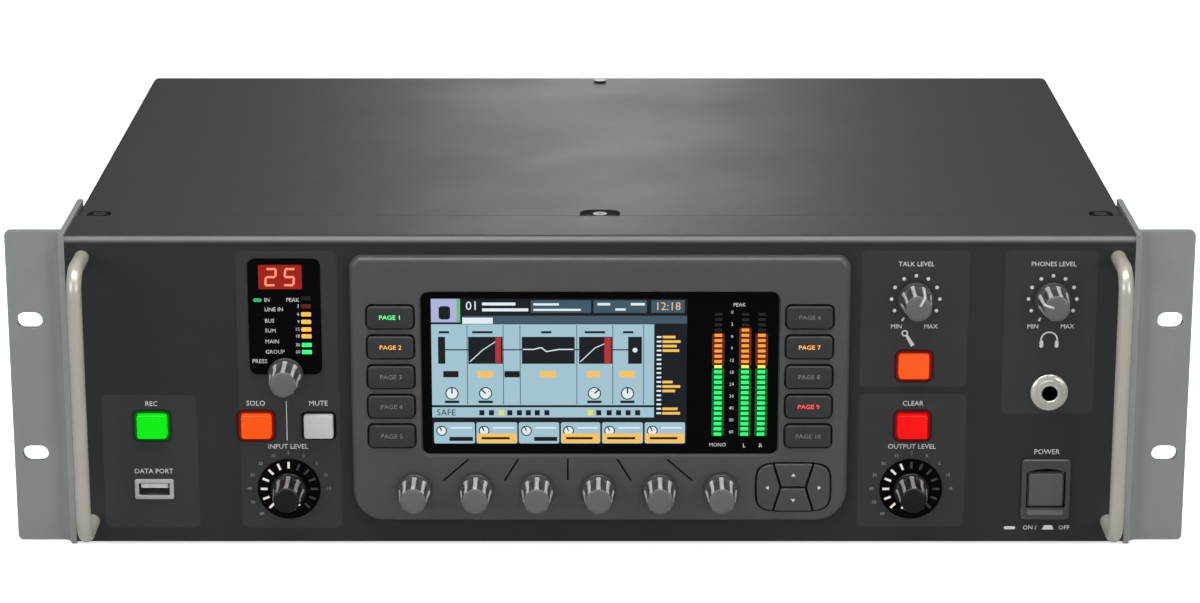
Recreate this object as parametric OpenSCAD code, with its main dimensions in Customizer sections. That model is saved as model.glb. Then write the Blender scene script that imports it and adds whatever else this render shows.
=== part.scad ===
// Rack-mounted digital mixer: steel case, extruded front panel, rack ears, grab handles,
// moulded display bezel and everything that turns, presses or spins.
// Frame: X to the right, Y to the back, Z up. Y = 0 is the rear face of the rack ears.
// Z = 0 is the underside. Millimetres.

/* [Rack ears] */
// Height of the rack ears, three rack units less the rack's own gap
unit_h = 132.5; // [128:0.5:178]
// Width of each rack ear beyond the case
ear_w = 24.8; // [22:0.1:32]
// Thickness of the ear plate
ear_t = 3; // [2:0.5:4]
// Thickness of the ear's side flange
flange_t = 2.3; // [1.5:0.1:3]
// How far the side flange reaches back behind the rack plane
flange_back = 49; // [36:1:80]
// Distance from the slot centre to the ear's outer edge
slot_inset = 8.75; // [7.5:0.05:10]
// Height between the two slot rows
slot_rise = 57.15; // [40:0.05:90]
// Slot length, end to end
slot_l = 10.5; // [8:0.1:13]
// Slot width
slot_w = 6.8; // [5:0.1:7.4]
// Radius of the ear plate's outer corners
ear_r = 2; // [0.5:0.5:4]

/* [Case] */
// Width of the case and front panel
case_w = 433; // [425:1:520]
// Depth from the panel's face to the rear panel's outer face
case_d = 295; // [250:1:400]
// Height of the ears above the top cover
top_drop = 1; // [0.5:0.5:3]
// Sheet thickness of the cover, tray and rear panel
sheet_t = 1.5; // [1:0.1:2]
// Outer bend radius of the cover
bend_r = 3; // [2.2:0.1:5]
// Distance from the rack plane back to the seam between panel and cover
seam_y = 25; // [15:1:34]
// Width of the notch at the middle of the cover's front edge
notch_w = 16.5; // [12:0.5:24]
// Depth of that notch
notch_d = 10; // [8:0.5:13]
// Width of the two notches near the cover's front corners
corner_notch_w = 10; // [8:0.5:14]
// Depth of those notches
corner_notch_d = 8; // [7.5:0.5:12]
// Distance from the corner notches' centres to the case side
corner_notch_inset = 9.5; // [8:0.5:20]

/* [Front panel] */
// How far the panel's face stands in front of the ears
panel_proud = 5; // [2:0.5:10]
// Thickness of the extruded panel
panel_t = 3; // [2.5:0.5:5]
// Radius of the panel's front top edge
panel_edge_r = 3.2; // [1:0.1:5]
// Gap under the panel's face
panel_lift = 1; // [0.5:0.5:3]
// How far the lip under the cover reaches behind the seam
lip_d = 16; // [14:1:30]

/* [Handles] */
// Diameter of the handle bar
handle_dia = 6; // [5:0.5:9]
// Distance from the panel's face to the bar's centre line
handle_reach = 24; // [20:1:45]
// Distance from a handle to the case side
handle_inset = 7; // [6:0.5:12]
// Distance from the handle legs to the top and bottom of the ears
handle_end = 9.75; // [8:0.25:24]
// Bend radius on the bar's centre line
handle_bend = 9; // [6:0.5:15]

/* [Display bezel] */
// Width of the moulded bezel
bezel_w = 203; // [196:1:212]
// Gap from the bezel to the underside
bezel_low = 11; // [8:0.5:16]
// Gap from the bezel to the top of the ears
bezel_high = 8.5; // [6:0.5:16]
// How far the bezel stands off the panel
bezel_proud = 4; // [3.4:0.2:8]
// Wall of the bezel's moulding
bezel_wall = 2.5; // [2:0.1:3]
// Radius of the bezel's upper corners
bezel_top_r = 5.5; // [3:0.5:10]
// Radius of the bezel's lower corners
bezel_low_r = 13; // [6:0.5:14]
// Width of the window opening
window_w = 145.2; // [120:0.2:146]
// Height of the window opening
window_h = 69; // [50:0.5:72]
// Height of the window's centre above mid height
window_up = 8.3; // [4:0.1:12]
// Width of the screen's lit area
screen_w = 103.8; // [80:0.2:106]
// Height of the screen's lit area
screen_h = 61.9; // [40:0.1:64]
// Distance from the screen's centre to the panel's centre, to the left
screen_left = 16.6; // [12:0.2:18]

/* [Keys] */
// Width of a display key
key_w = 18.5; // [12:0.5:18.5]
// Height of a display key
key_h = 9.2; // [6:0.2:10]
// Distance between the rows of keys
key_pitch = 12.65; // [12:0.05:14]
// Distance from the panel's centre to the key columns
key_x = 85; // [85:0.5:88]
// Height of the middle key row above mid height
key_up = 7.35; // [5:0.05:10]
// Travel of a display key
key_travel = 1; // [0.4:0.1:1.4]
// Width of the four-way pad
nav_w = 30; // [26:0.5:32]
// Height of the four-way pad
nav_h = 20.2; // [16:0.2:22]
// Distance from the panel's centre to the pad
nav_x = 79.3; // [78:0.1:80]
// Distance from mid height down to the pad
nav_down = 40.1; // [39:0.1:42]

/* [Lit buttons] */
// Width of a lit button
button_w = 12; // [9:0.5:13]
// Height of a lit button
button_h = 10; // [8:0.5:11]
// How far a lit button stands off the panel
button_proud = 2.6; // [2.2:0.1:4]
// Travel of a lit button
button_travel = 2; // [1:0.1:2]

/* [Knobs] */
// Diameter of a knob's skirt
knob_base = 14.5; // [12:0.5:17]
// Diameter of a knob's face
knob_face = 10.6; // [8:0.2:12]
// Length of a knob
knob_l = 14.5; // [11:0.5:18]
// Diameter of a control shaft
shaft_dia = 6; // [5:0.5:6.5]
// Distance between the knobs under the display
knob_pitch = 25.15; // [22:0.05:25.4]
// Distance from the panel's centre to the middle of the knob row, to the left
knob_row_left = 13.2; // [12:0.1:16]
// Distance from mid height down to the knob row
knob_row_down = 41.4; // [39:0.1:43]
// Push travel of the select knob
select_travel = 1.5; // [0.5:0.1:1.5]

/* [Panel layout] */
// Gap from the bezel's side to the inner control columns
inner_gap = 26.5; // [25:0.5:30]
// Distance from the outer control columns to the case side
outer_inset = 33; // [30:0.5:40]
// Height of the talk and monitor knobs above mid height
dial_up = 39.1; // [36:0.1:44]
// Distance from mid height down to the level knobs
dial_down = 42.2; // [40:0.1:46]
// Diameter of the light ring round a level knob
ring_dia = 26; // [20:0.5:28]
// Height of the talk button above mid height
talk_up = 10.7; // [8:0.1:14]
// Distance from mid height down to the row of lit buttons
lit_down = 14.9; // [12:0.1:18]
// Distance from the inner column to the solo and mute buttons
solo_off = 12.8; // [10:0.1:15]
// Width of the channel window
chan_w = 29.5; // [26:0.5:32]
// Height of the channel window
chan_h = 48.9; // [44:0.1:52]
// Height of the channel window's centre above mid height
chan_up = 31.7; // [28:0.1:34]
// Height of the select knob above mid height
select_up = 7.75; // [7:0.05:9]
// Distance from mid height down to the USB port
usb_down = 42.3; // [38:0.1:46]
// Distance from mid height down to the headphone jack
jack_down = 0.6; // [0:0.1:6]
// Distance from mid height down to the power switch
power_down = 42.4; // [40:0.1:46]
// Bore of the headphone jack
jack_dia = 6.4; // [6.36:0.02:6.6]
// Width and height of the power button
power_button = 14.4; // [12:0.2:15]
// Travel of the power button
power_travel = 3; // [2:0.5:4]

/* [Rear panel] */
// Distance between the columns of XLR sockets
xlr_pitch = 27; // [26.5:0.1:27.4]
// Distance from the first XLR column to the case side
xlr_inset = 24; // [20:0.5:30]
// Distance from the top cover down to the upper XLR row
xlr_drop = 23; // [20:0.5:26]
// Distance between the two XLR rows
xlr_rise = 34; // [32:0.5:36]
// Height of the lower row of sockets
low_row_z = 29; // [26:0.5:30]
// Width of the fan
fan_w = 60; // [50:1:60]
// Thickness of the fan
fan_t = 15; // [15:1:25]
// Distance from the fan's centre to the case side
fan_inset = 38; // [36:1:44]

/* [Clearances] */
// Gap round a button or key in its hole
button_gap = 0.3; // [0.2:0.05:0.4]
// Gap between pieces that slip into each other
fit_gap = 0.1; // [0.05:0.05:0.2]
// Radial clearance of a turning shaft
shaft_gap = 0.05; // [0.02:0.01:0.1]
// Gap under a knob
knob_gap = 0.5; // [0.4:0.1:1]
// Radial clearance of a screw in its thread
thread_gap = 0.05; // [0.02:0.01:0.1]

/* [Hidden] */
$fn = 48;
eps = 0.01;

// Planes across the depth
face_y = -(ear_t + panel_proud);
panel_back_y = face_y + panel_t;
rear_y = face_y + case_d;
bezel_y = face_y - bezel_proud;
skin_back_y = bezel_y + bezel_wall;
board_y = panel_back_y + 7;
board_t = 1.6;
can_l = 6.5;
can_y = board_y - can_l;
switch_l = 3.5;

// Heights and half widths
mid_z = unit_h / 2;
case_h = unit_h - top_drop;
half_w = case_w / 2;
wall_out = half_w - sheet_t - 0.3;
wall_in = wall_out - sheet_t;
bezel_z0 = bezel_low;
bezel_h = unit_h - bezel_low - bezel_high;
col_in = bezel_w / 2 + inner_gap;
col_out = half_w - outer_inset;
rim_wall = 2;
opening_side = 5.5;
opening_low = 3.5;
peg_r = 1.2;
handle_x = half_w - handle_inset;
handle_y = face_y - handle_reach;

// Heights of the controls
dial_z = mid_z + dial_up;
level_z = mid_z - dial_down;
lit_z = mid_z - lit_down;
talk_z = mid_z + talk_up;
chan_z = mid_z + chan_up;
select_z = mid_z + select_up;
usb_z = mid_z - usb_down;
jack_z = mid_z - jack_down;
power_z = mid_z - power_down;
window_z = mid_z + window_up;
knob_row_z = mid_z - knob_row_down;
nav_z = mid_z - nav_down;

// Small standard parts
press_gap = 0.02;
post_r = 3;
chan_rim = 2;
chan_sink = 1.1;
chan_stand = 0.4;
chan_r = 3;
ring_stand = 0.3;
frame_stand = 1.2;
jack_bushing_r = 4.5;
screw_r = 1.5;
screw_head_r = 2.9;
screw_head_t = 1.3;
handle_screw_r = 2;
handle_screw_l = 9;
bushing_r = 3.6;
shaft_r = shaft_dia / 2;
stem_r = 1.5;
stud_r = 2.5;
post_h = 8;
ear_screw_y = 38;
ear_screw_inset = 20;
rear_flange_d = 12;
usb_tube = [13.7, 6.3];
usb_mouth = [12.5, 5.1];
usb_depth = 12;
nav_top = 8.2;
nav_waist = 5.1;
nav_gap = 0.25;
vent_count = 14;
vent_pitch = 7;
vent_w = 2.5;
vent_h = 32;
xlr_r = 12;
inlet_body = [28, 20.4];
card_cut = [104, 26];
socket_plate_t = 1.5;
power_frame = [20, 26];
power_body = [17.6, 23.4];
jack_body = 14;

// Places that repeat
knob_x = [for (i = [0:5]) (i - 2.5) * knob_pitch - knob_row_left];
key_rows = [for (i = [0:4]) mid_z + key_up + (2 - i) * key_pitch];
lit_places = [[-col_out, lit_z], [-col_in - solo_off, lit_z], [-col_in + solo_off, lit_z],
    [col_in, talk_z], [col_in, lit_z]];
dial_places = [[-col_in, level_z], [col_in, level_z], [col_in, dial_z], [col_out, dial_z]];
meter_x = [0.662, 0.813, 0.905] * window_w / 2;
nav_dirs = [[0, 1], [0, -1], [-1, 0], [1, 0]];
nav_stem = [nav_w * 0.355, nav_h * 0.27];
cover_screw_x = [-half_w + corner_notch_inset, 0, half_w - corner_notch_inset];
cover_screw_y = seam_y + 4.5;
peg_places = [for (s = [-1, 1], p = [[60, bezel_z0 + bezel_h - 5], [20, bezel_z0 + bezel_h - 5],
    [bezel_w / 2 - 3.6, mid_z - 10], [bezel_w / 2 - 3.6, mid_z + 25]]) [s * p[0], p[1]]];
stud_x = [col_in - 21, col_in + 28];
stud_z = [panel_lift + 12, case_h - 13];
xlr_x0 = -half_w + xlr_inset;
xlr_rows = [case_h - xlr_drop, case_h - xlr_drop - xlr_rise];
xlr_count = 12;
xlr_out_first = 8;
jack_xs = [for (i = [0:5]) xlr_x0 + i * 18];
card_x = xlr_x0 + 172;
card_net_x = [-36, -18, 0];
card_usb_x = 30;
fan_x = half_w - fan_inset;
fan_z = case_h - fan_w / 2 - 10;
inlet_x = half_w - 38;
inlet_z = 27;
psu_x = half_w - 62;
psu_size = [95, 150];
psu_y = rear_y - 120;
main_size = [290, 190];
main_x = -56;
main_y = rear_y - 125;
board_posts = [for (i = [-1, 1], j = [-1, 1])
    each [[main_x + i * (main_size[0] / 2 - 8), main_y + j * (main_size[1] / 2 - 8)],
        [psu_x + i * (psu_size[0] / 2 - 6), psu_y + j * (psu_size[1] / 2 - 6)]]];

// Extrudes a shape drawn in X and Z from depth y0 back to depth y1
module slab(y0, y1) {
    translate([0, y1, 0])
        rotate([90, 0, 0])
            linear_extrude(y1 - y0)
                children();
}

module rod(r, y0, y1) {
    slab(y0, y1)
        circle(r);
}

module at(x, z) {
    translate([x, 0, z])
        children();
}

// Rounded rectangle about its centre
module pad(w, h, r) {
    square([w - 2 * r, h], center = true);
    square([w, h - 2 * r], center = true);
    for (sx = [-1, 1], sz = [-1, 1])
        translate([sx * (w / 2 - r), sz * (h / 2 - r)])
            circle(r);
}

// Outline of the display bezel, drawn in by a margin
module bezel_outline(inset) {
    w = bezel_w / 2 - inset;
    lo = bezel_z0 + inset;
    hi = bezel_z0 + bezel_h - inset;
    rt = max(bezel_top_r - inset, 1);
    rl = max(bezel_low_r - inset, 1);
    translate([-w, lo + rl])
        square([2 * w, hi - lo - rl - rt]);
    translate([-w + rl, lo])
        square([2 * (w - rl), rl]);
    translate([-w + rt, hi - rt])
        square([2 * (w - rt), rt]);
    for (s = [-1, 1]) {
        translate([s * (w - rl), lo + rl])
            circle(rl);
        translate([s * (w - rt), hi - rt])
            circle(rt);
    }
}

// Opening in the panel behind the bezel
module bezel_opening() {
    lo = bezel_z0 + opening_low;
    hi = window_z + window_h / 2 + 4;
    translate([0, (lo + hi) / 2])
        pad(bezel_w - 2 * opening_side, hi - lo, 6);
}

// Barrel outline of the four-way pad
module nav_outline(grow) {
    pad(nav_w + 2 * grow, nav_h - 1.6 + 2 * grow, 4);
    pad(nav_w - 8 + 2 * grow, nav_h + 2 * grow, 3);
}

// ---- Case ----

// Floor sheet with the boards' posts, between two side sheets
module chassis_tray() {
    depth = rear_y - panel_back_y;
    floor_half = wall_in - fit_gap;
    color("dimgray") {
        translate([-floor_half, panel_back_y, 0])
            cube([2 * floor_half, depth, sheet_t]);
        for (p = board_posts)
            translate([p[0], p[1], sheet_t - eps])
                cylinder(r = post_r, h = post_h + eps);
        difference() {
            for (s = [-1, 1])
                translate([s < 0 ? -wall_out : wall_in, panel_back_y, 0])
                    cube([sheet_t, depth, case_h - panel_t]);
            side_vents();
            ear_screw_holes(screw_r + thread_gap);
        }
    }
}

// Air slots through both case sides
module side_vents() {
    for (i = [0:vent_count - 1])
        translate([-half_w - 1, rear_y - 170 + i * vent_pitch, mid_z + 1 - vent_h / 2])
            cube([case_w + 2, vent_w, vent_h]);
}

module ear_screw_holes(r) {
    for (z = [ear_screw_inset, unit_h - ear_screw_inset])
        translate([-half_w - 5, ear_screw_y, z])
            rotate([0, 90, 0])
                cylinder(r = r, h = case_w + 10);
}

module top_cover() {
    color([0.24, 0.25, 0.25])
        difference() {
            slab(seam_y + 0.3, rear_y) {
                difference() {
                    union() {
                        translate([-half_w, panel_lift])
                            square([case_w, case_h - panel_lift - bend_r]);
                        translate([-half_w + bend_r, case_h - bend_r])
                            square([case_w - 2 * bend_r, bend_r]);
                        for (s = [-1, 1])
                            translate([s * (half_w - bend_r), case_h - bend_r])
                                circle(bend_r);
                    }
                    translate([-half_w + sheet_t, 0])
                        square([case_w - 2 * sheet_t, case_h - bend_r]);
                    translate([-half_w + bend_r, case_h - bend_r - 1])
                        square([case_w - 2 * bend_r, bend_r - sheet_t + 1]);
                    for (s = [-1, 1])
                        translate([s * (half_w - bend_r), case_h - bend_r])
                            circle(bend_r - sheet_t);
                }
            }
            cover_notch(0, notch_w, notch_d);
            for (s = [-1, 1])
                cover_notch(s * (half_w - corner_notch_inset), corner_notch_w, corner_notch_d);
            translate([0, rear_y - 8, case_h - 5])
                cylinder(r = screw_r + 0.2, h = 10);
            side_vents();
            ear_screw_holes(screw_r + 0.2);
        }
}

// A slot with a round end, open at the cover's front edge
module cover_notch(x, w, d) {
    r = min(w, d) / 2;
    translate([x - w / 2, seam_y - 1, case_h - sheet_t - 1])
        cube([w, d + 1.3 - r, sheet_t + 2]);
    translate([x - w / 2 + r, seam_y - 1, case_h - sheet_t - 1])
        cube([w - 2 * r, d + 1.3, sheet_t + 2]);
    for (s = [-1, 1])
        translate([x + s * (w / 2 - r), seam_y + 0.3 + d - r, case_h - sheet_t - 1])
            cylinder(r = r, h = sheet_t + 2);
}

module front_panel() {
    color([0.17, 0.18, 0.19])
        difference() {
            union() {
                panel_profile();
                for (s = [-1, 1], x = stud_x, z = stud_z)
                    at(s * x, z)
                        rod(stud_r, panel_back_y - eps, board_y);
            }
            panel_cuts();
            for (s = [-1, 1]) {
                // Ends of the bottom flange, clear of the tray's walls
                side_trim(s, wall_in - fit_gap, panel_back_y, 0, sheet_t + panel_t + 1);
                // Ends of the lip, clear of the cover's bends
                side_trim(s, half_w - bend_r - fit_gap, seam_y, case_h - panel_t - 1, panel_t + 2);
            }
        }
}

// Block that trims everything outside x, behind y and between two heights
module side_trim(side, x, y, z, h) {
    translate([side < 0 ? -half_w - 1 : x, y, z])
        cube([half_w + 1 - x, 60, h]);
}

// C-shaped extrusion with a rounded front edge and a lip that the cover lies on
module panel_profile() {
    translate([-half_w, 0, 0])
        rotate([90, 0, 90])
            linear_extrude(case_w) {
                difference() {
                    union() {
                        translate([face_y, panel_lift])
                            square([panel_t, case_h - panel_lift]);
                        translate([face_y, case_h - panel_t])
                            square([seam_y - face_y, panel_t]);
                    }
                    difference() {
                        translate([face_y - 1, case_h - panel_edge_r])
                            square([panel_edge_r + 1, panel_edge_r + 1]);
                        translate([face_y + panel_edge_r, case_h - panel_edge_r])
                            circle(panel_edge_r);
                    }
                }
                translate([seam_y, case_h - panel_t])
                    square([lip_d, panel_t - sheet_t]);
                translate([panel_back_y, sheet_t])
                    square([16, panel_t]);
            }
}

module panel_cuts() {
    slab(face_y - 1, panel_back_y + 1) {
        bezel_opening();
        for (p = peg_places)
            translate(p)
                circle(peg_r + fit_gap);
        translate([-col_in, chan_z])
            pad(chan_w - 2 * chan_rim, chan_h - 2 * chan_rim, 1);
        for (p = lit_places)
            translate(p)
                pad(button_w + 2 * button_gap, button_h + 2 * button_gap, 1.3);
        for (i = [0, 1])
            translate(dial_places[i])
                circle(ring_dia / 2 + fit_gap);
        for (i = [2, 3])
            translate(dial_places[i])
                circle(bushing_r + fit_gap);
        translate([-col_in, select_z])
            circle(bushing_r + fit_gap);
        translate([-col_out, usb_z])
            square([usb_tube[0] + 2 * fit_gap, usb_tube[1] + 2 * fit_gap], center = true);
        translate([col_out, jack_z])
            circle(jack_bushing_r + fit_gap);
        translate([col_out, power_z])
            square([power_body[0] + 2 * fit_gap, power_body[1] + 2 * fit_gap], center = true);
        for (s = [-1, 1], z = [handle_end, unit_h - handle_end])
            translate([s * handle_x, z])
                circle(handle_screw_r + 0.2);
    }
    // Recess that the channel window lies in
    slab(face_y - 1, face_y + chan_sink)
        translate([-col_in, chan_z])
            pad(chan_w + 2 * fit_gap, chan_h + 2 * fit_gap, chan_r + fit_gap);
    // Tapped holes in the lip under the cover's notches
    for (x = cover_screw_x)
        translate([x, cover_screw_y, case_h - panel_t - 1])
            cylinder(r = screw_r + thread_gap, h = panel_t + 2);
}

module rear_panel() {
    color([0.24, 0.25, 0.25])
        difference() {
            union() {
                translate([-wall_in + fit_gap, rear_y - sheet_t, sheet_t])
                    cube([2 * (wall_in - fit_gap), sheet_t, case_h - 2 * sheet_t - fit_gap]);
                translate([-wall_in + fit_gap, rear_y - rear_flange_d, case_h - 2 * sheet_t - fit_gap])
                    cube([2 * (wall_in - fit_gap), rear_flange_d, sheet_t]);
            }
            slab(rear_y - sheet_t - 1, rear_y + 1) {
                for (i = [0:xlr_count - 1], z = xlr_rows)
                    translate([xlr_x0 + i * xlr_pitch, z])
                        circle(xlr_r + fit_gap);
                for (x = jack_xs)
                    translate([x, low_row_z])
                        circle(jack_bushing_r + fit_gap);
                translate([card_x, low_row_z])
                    square(card_cut, center = true);
                translate([inlet_x, inlet_z])
                    square([inlet_body[0] + 2 * fit_gap, inlet_body[1] + 2 * fit_gap], center = true);
                intersection() {
                    translate([fan_x, fan_z])
                        circle(fan_w / 2 - 3);
                    for (i = [-4:4])
                        translate([fan_x + i * 6 - 1.5, fan_z - 30])
                            square([3, 60]);
                }
            }
            translate([0, rear_y - 8, case_h - 6])
                cylinder(r = screw_r + thread_gap, h = 6);
        }
}

// ---- Rack ears and handles ----

// Right-hand ear; the left one is its mirror image
module rack_ear() {
    x0 = half_w + flange_t;
    w = ear_w - flange_t;
    fillet_r = panel_proud - 1;
    difference() {
        union() {
            slab(-ear_t, 0) {
                translate([x0 - eps, 0])
                    square([w - ear_r + eps, unit_h]);
                translate([x0, ear_r])
                    square([w, unit_h - 2 * ear_r]);
                for (z = [ear_r, unit_h - ear_r])
                    translate([x0 + w - ear_r, z])
                        circle(ear_r);
            }
            translate([half_w, face_y, 0])
                cube([flange_t, flange_back - face_y, unit_h]);
            // Hollow fillet between the plate and the flange's front strip
            difference() {
                translate([x0 - eps, -ear_t - fillet_r, 0])
                    cube([fillet_r + eps, fillet_r + eps, unit_h]);
                translate([x0 + fillet_r, -ear_t - fillet_r, -1])
                    cylinder(r = fillet_r, h = unit_h + 2);
            }
        }
        for (z = [mid_z - slot_rise / 2, mid_z + slot_rise / 2])
            slab(-ear_t - 1, 1)
                translate([half_w + ear_w - slot_inset, z])
                    pad(slot_l, slot_w, slot_w / 2 - eps);
        ear_screw_holes(screw_r + 0.2);
    }
}

module rack_ear_right() {
    color([0.51, 0.53, 0.52])
        rack_ear();
}

module rack_ear_left() {
    color([0.51, 0.53, 0.52])
        mirror([1, 0, 0])
            rack_ear();
}

module handle() {
    r = handle_dia / 2;
    z0 = handle_end;
    z1 = unit_h - handle_end;
    difference() {
        union() {
            for (z = [z0, z1])
                at(0, z)
                    rod(r, handle_y + handle_bend, face_y);
            translate([0, handle_y, z0 + handle_bend])
                cylinder(r = r, h = z1 - z0 - 2 * handle_bend);
            translate([0, handle_y + handle_bend, z0 + handle_bend])
                bend(-90);
            translate([0, handle_y + handle_bend, z1 - handle_bend])
                bend(180);
        }
        for (z = [z0, z1])
            at(0, z)
                rod(handle_screw_r + thread_gap, face_y - handle_screw_l - 1, face_y + 1);
    }
}

// A quarter turn of the bar in the plane across X
module bend(turn) {
    rotate([0, 90, 0])
        rotate([0, 0, turn])
            rotate_extrude(angle = 90)
                translate([handle_bend, 0])
                    circle(handle_dia / 2);
}

module handle_left() {
    color([0.66, 0.63, 0.58])
        translate([-handle_x, 0, 0])
            handle();
}

module handle_right() {
    color([0.66, 0.63, 0.58])
        translate([handle_x, 0, 0])
            handle();
}

// ---- Display ----

module display_bezel() {
    color([0.29, 0.3, 0.31])
        difference() {
            union() {
                slab(bezel_y, bezel_y + 1)
                    bezel_outline(1);
                slab(bezel_y + 1 - eps, face_y)
                    bezel_outline(0);
            }
            slab(skin_back_y, face_y + 1)
                bezel_outline(rim_wall);
            slab(bezel_y - 1, skin_back_y + 1) {
                translate([0, window_z])
                    pad(window_w, window_h, 3);
                for (s = [-1, 1], z = key_rows)
                    translate([s * key_x, z])
                        pad(key_w + 2 * button_gap, key_h + 2 * button_gap, 2);
                for (x = knob_x)
                    translate([x, knob_row_z])
                        circle(bushing_r + fit_gap);
                translate([nav_x, nav_z])
                    nav_outline(button_gap);
            }
        }
    // Pegs that locate the bezel in the panel
    color([0.29, 0.3, 0.31])
        for (p = peg_places)
            at(p[0], p[1])
                rod(peg_r, skin_back_y - eps, panel_back_y);
}

module display_window() {
    color([0.02, 0.02, 0.03]) {
        at(0, window_z) {
            slab(bezel_y + 0.4, skin_back_y + eps)
                pad(window_w - 2 * fit_gap, window_h - 2 * fit_gap, 2.9);
            slab(skin_back_y, skin_back_y + 1)
                pad(window_w + 3, window_h + 3, 3);
        }
    }
}

module lcd_module() {
    w = screen_w + 8;
    h = screen_h + 6;
    color([0.35, 0.55, 0.7])
        at(-screen_left, window_z) {
            slab(skin_back_y + 1, panel_back_y + 2)
                pad(w, h, 1);
            for (sx = [-1, 1], sz = [-1, 1])
                at(sx * (w / 2 - 5), sz * (h / 2 - 5))
                    rod(2, panel_back_y + 2 - eps, board_y);
        }
}

module led_modules() {
    color([0.75, 0.75, 0.72]) {
        for (x = meter_x)
            at(x, window_z)
                slab(skin_back_y + 1, board_y)
                    square([4.6, window_h - 12], center = true);
        // Two-digit channel readout and the bar beside it
        at(-col_in, chan_z + chan_h / 2 - 8)
            slab(face_y + 2.6, board_y)
                square([18, 11.4], center = true);
        at(-col_in + 10, chan_z - 5)
            slab(face_y + 2.6, board_y)
                square([4.6, 27], center = true);
    }
}

module channel_window() {
    color([0.03, 0.03, 0.04])
        difference() {
            at(-col_in, chan_z)
                slab(face_y - chan_stand, face_y + chan_sink)
                    pad(chan_w, chan_h, chan_r);
            at(-col_in, select_z)
                rod(bushing_r + fit_gap, face_y - 1, face_y + 2);
        }
}

module level_rings() {
    color([0.06, 0.06, 0.07])
        for (i = [0, 1])
            at(dial_places[i][0], dial_places[i][1])
                difference() {
                    union() {
                        rod(ring_dia / 2, face_y - ring_stand, panel_back_y + eps);
                        rod(ring_dia / 2 + 1.5, panel_back_y, panel_back_y + 1);
                    }
                    rod(bushing_r + fit_gap, face_y - 1, panel_back_y + 2);
                    rod(9.2, panel_back_y, panel_back_y + 2);
                }
}

// ---- Controls on the front ----

// Metal can, bushing and running bore of one encoder or potentiometer.
// The can stands on the control board; front is where its bushing ends.
module encoder_can(front, hollow) {
    difference() {
        union() {
            slab(can_y, board_y)
                square([12, 12.5], center = true);
            rod(bushing_r, front, can_y + eps);
        }
        rod(shaft_r + shaft_gap, front - 1, board_y - 0.8);
        if (hollow)
            rod(5, can_y + 1, can_y + 3.6);
    }
}

module encoder_bodies() {
    color([0.7, 0.7, 0.68]) {
        for (x = knob_x)
            at(x, knob_row_z)
                encoder_can(bezel_y + 0.3, false);
        for (p = dial_places)
            at(p[0], p[1])
                encoder_can(face_y, false);
        at(-col_in, select_z)
            encoder_can(face_y, true);
    }
}

// Knob with its shaft. seat is the surface it stands in front of.
module knob(seat, shaft_end) {
    back = seat - knob_gap;
    front = back - knob_l;
    difference() {
        translate([0, back, 0])
            rotate([90, 0, 0])
                union() {
                    cylinder(d = knob_base, h = 2.2);
                    cylinder(d1 = knob_base - 1.6, d2 = knob_face, h = knob_l - 0.8);
                    cylinder(d = knob_face - 1.2, h = knob_l);
                }
        rod(shaft_r + press_gap, front + 2.8, back + 1);
    }
    rod(shaft_r, front + 3, shaft_end);
}

module display_knob(i) {
    color([0.22, 0.23, 0.24])
        at(knob_x[i], knob_row_z)
            knob(bezel_y, board_y - 1);
}

module display_knob_1() { display_knob(0); }
module display_knob_2() { display_knob(1); }
module display_knob_3() { display_knob(2); }
module display_knob_4() { display_knob(3); }
module display_knob_5() { display_knob(4); }
module display_knob_6() { display_knob(5); }

module dial_knob(i, seat) {
    color([0.16, 0.15, 0.15])
        at(dial_places[i][0], dial_places[i][1])
            knob(seat, board_y - 1);
}

module channel_level_knob() { dial_knob(0, face_y - ring_stand); }
module main_level_knob() { dial_knob(1, face_y - ring_stand); }
module talk_knob() { dial_knob(2, face_y); }
module monitor_knob() { dial_knob(3, face_y); }

// The select shaft turns this disc and slides through it
module select_rotor() {
    color([0.8, 0.7, 0.4])
        at(-col_in, select_z)
            difference() {
                rod(4.7, can_y + 1.2, can_y + 3.4);
                rod(shaft_r + shaft_gap, can_y, can_y + 5);
            }
}

module select_knob() {
    color([0.3, 0.31, 0.32])
        at(-col_in, select_z)
            knob(face_y - chan_stand - select_travel, board_y - 1 - select_travel);
}

// Cap, retaining flange and stem of one lit button
module lit_button(i, shade) {
    color(shade)
        at(lit_places[i][0], lit_places[i][1]) {
            slab(face_y - button_proud, panel_back_y + 0.1 + eps)
                pad(button_w, button_h, 1);
            slab(panel_back_y + 0.1, panel_back_y + 1.3)
                pad(button_w + 2, button_h + 2, 1);
            rod(stem_r, panel_back_y + 1.3 - eps, stem_end_y(button_travel));
        }
}

// A stem ends in its switch, clear of the switch's floor by its travel
function stem_end_y(travel) = board_y - 0.9 - travel;

module usb_button() { lit_button(0, [0.1, 0.85, 0.15]); }
module solo_button() { lit_button(1, [1, 0.35, 0.05]); }
module mute_button() { lit_button(2, [0.75, 0.75, 0.74]); }
module talk_button() { lit_button(3, [1, 0.33, 0.05]); }
module clear_solo_button() { lit_button(4, [0.9, 0.05, 0.08]); }

module display_key(side, row) {
    color([0.27, 0.28, 0.29])
        at(side * key_x, key_rows[row]) {
            slab(bezel_y - 1.2, skin_back_y + 0.1 + eps)
                pad(key_w, key_h, 1.7);
            slab(skin_back_y + 0.1, skin_back_y + 1.2)
                pad(key_w + 1.2, key_h + 1.6, 1.7);
            rod(stem_r, skin_back_y + 1.2 - eps, stem_end_y(key_travel));
        }
}

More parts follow.
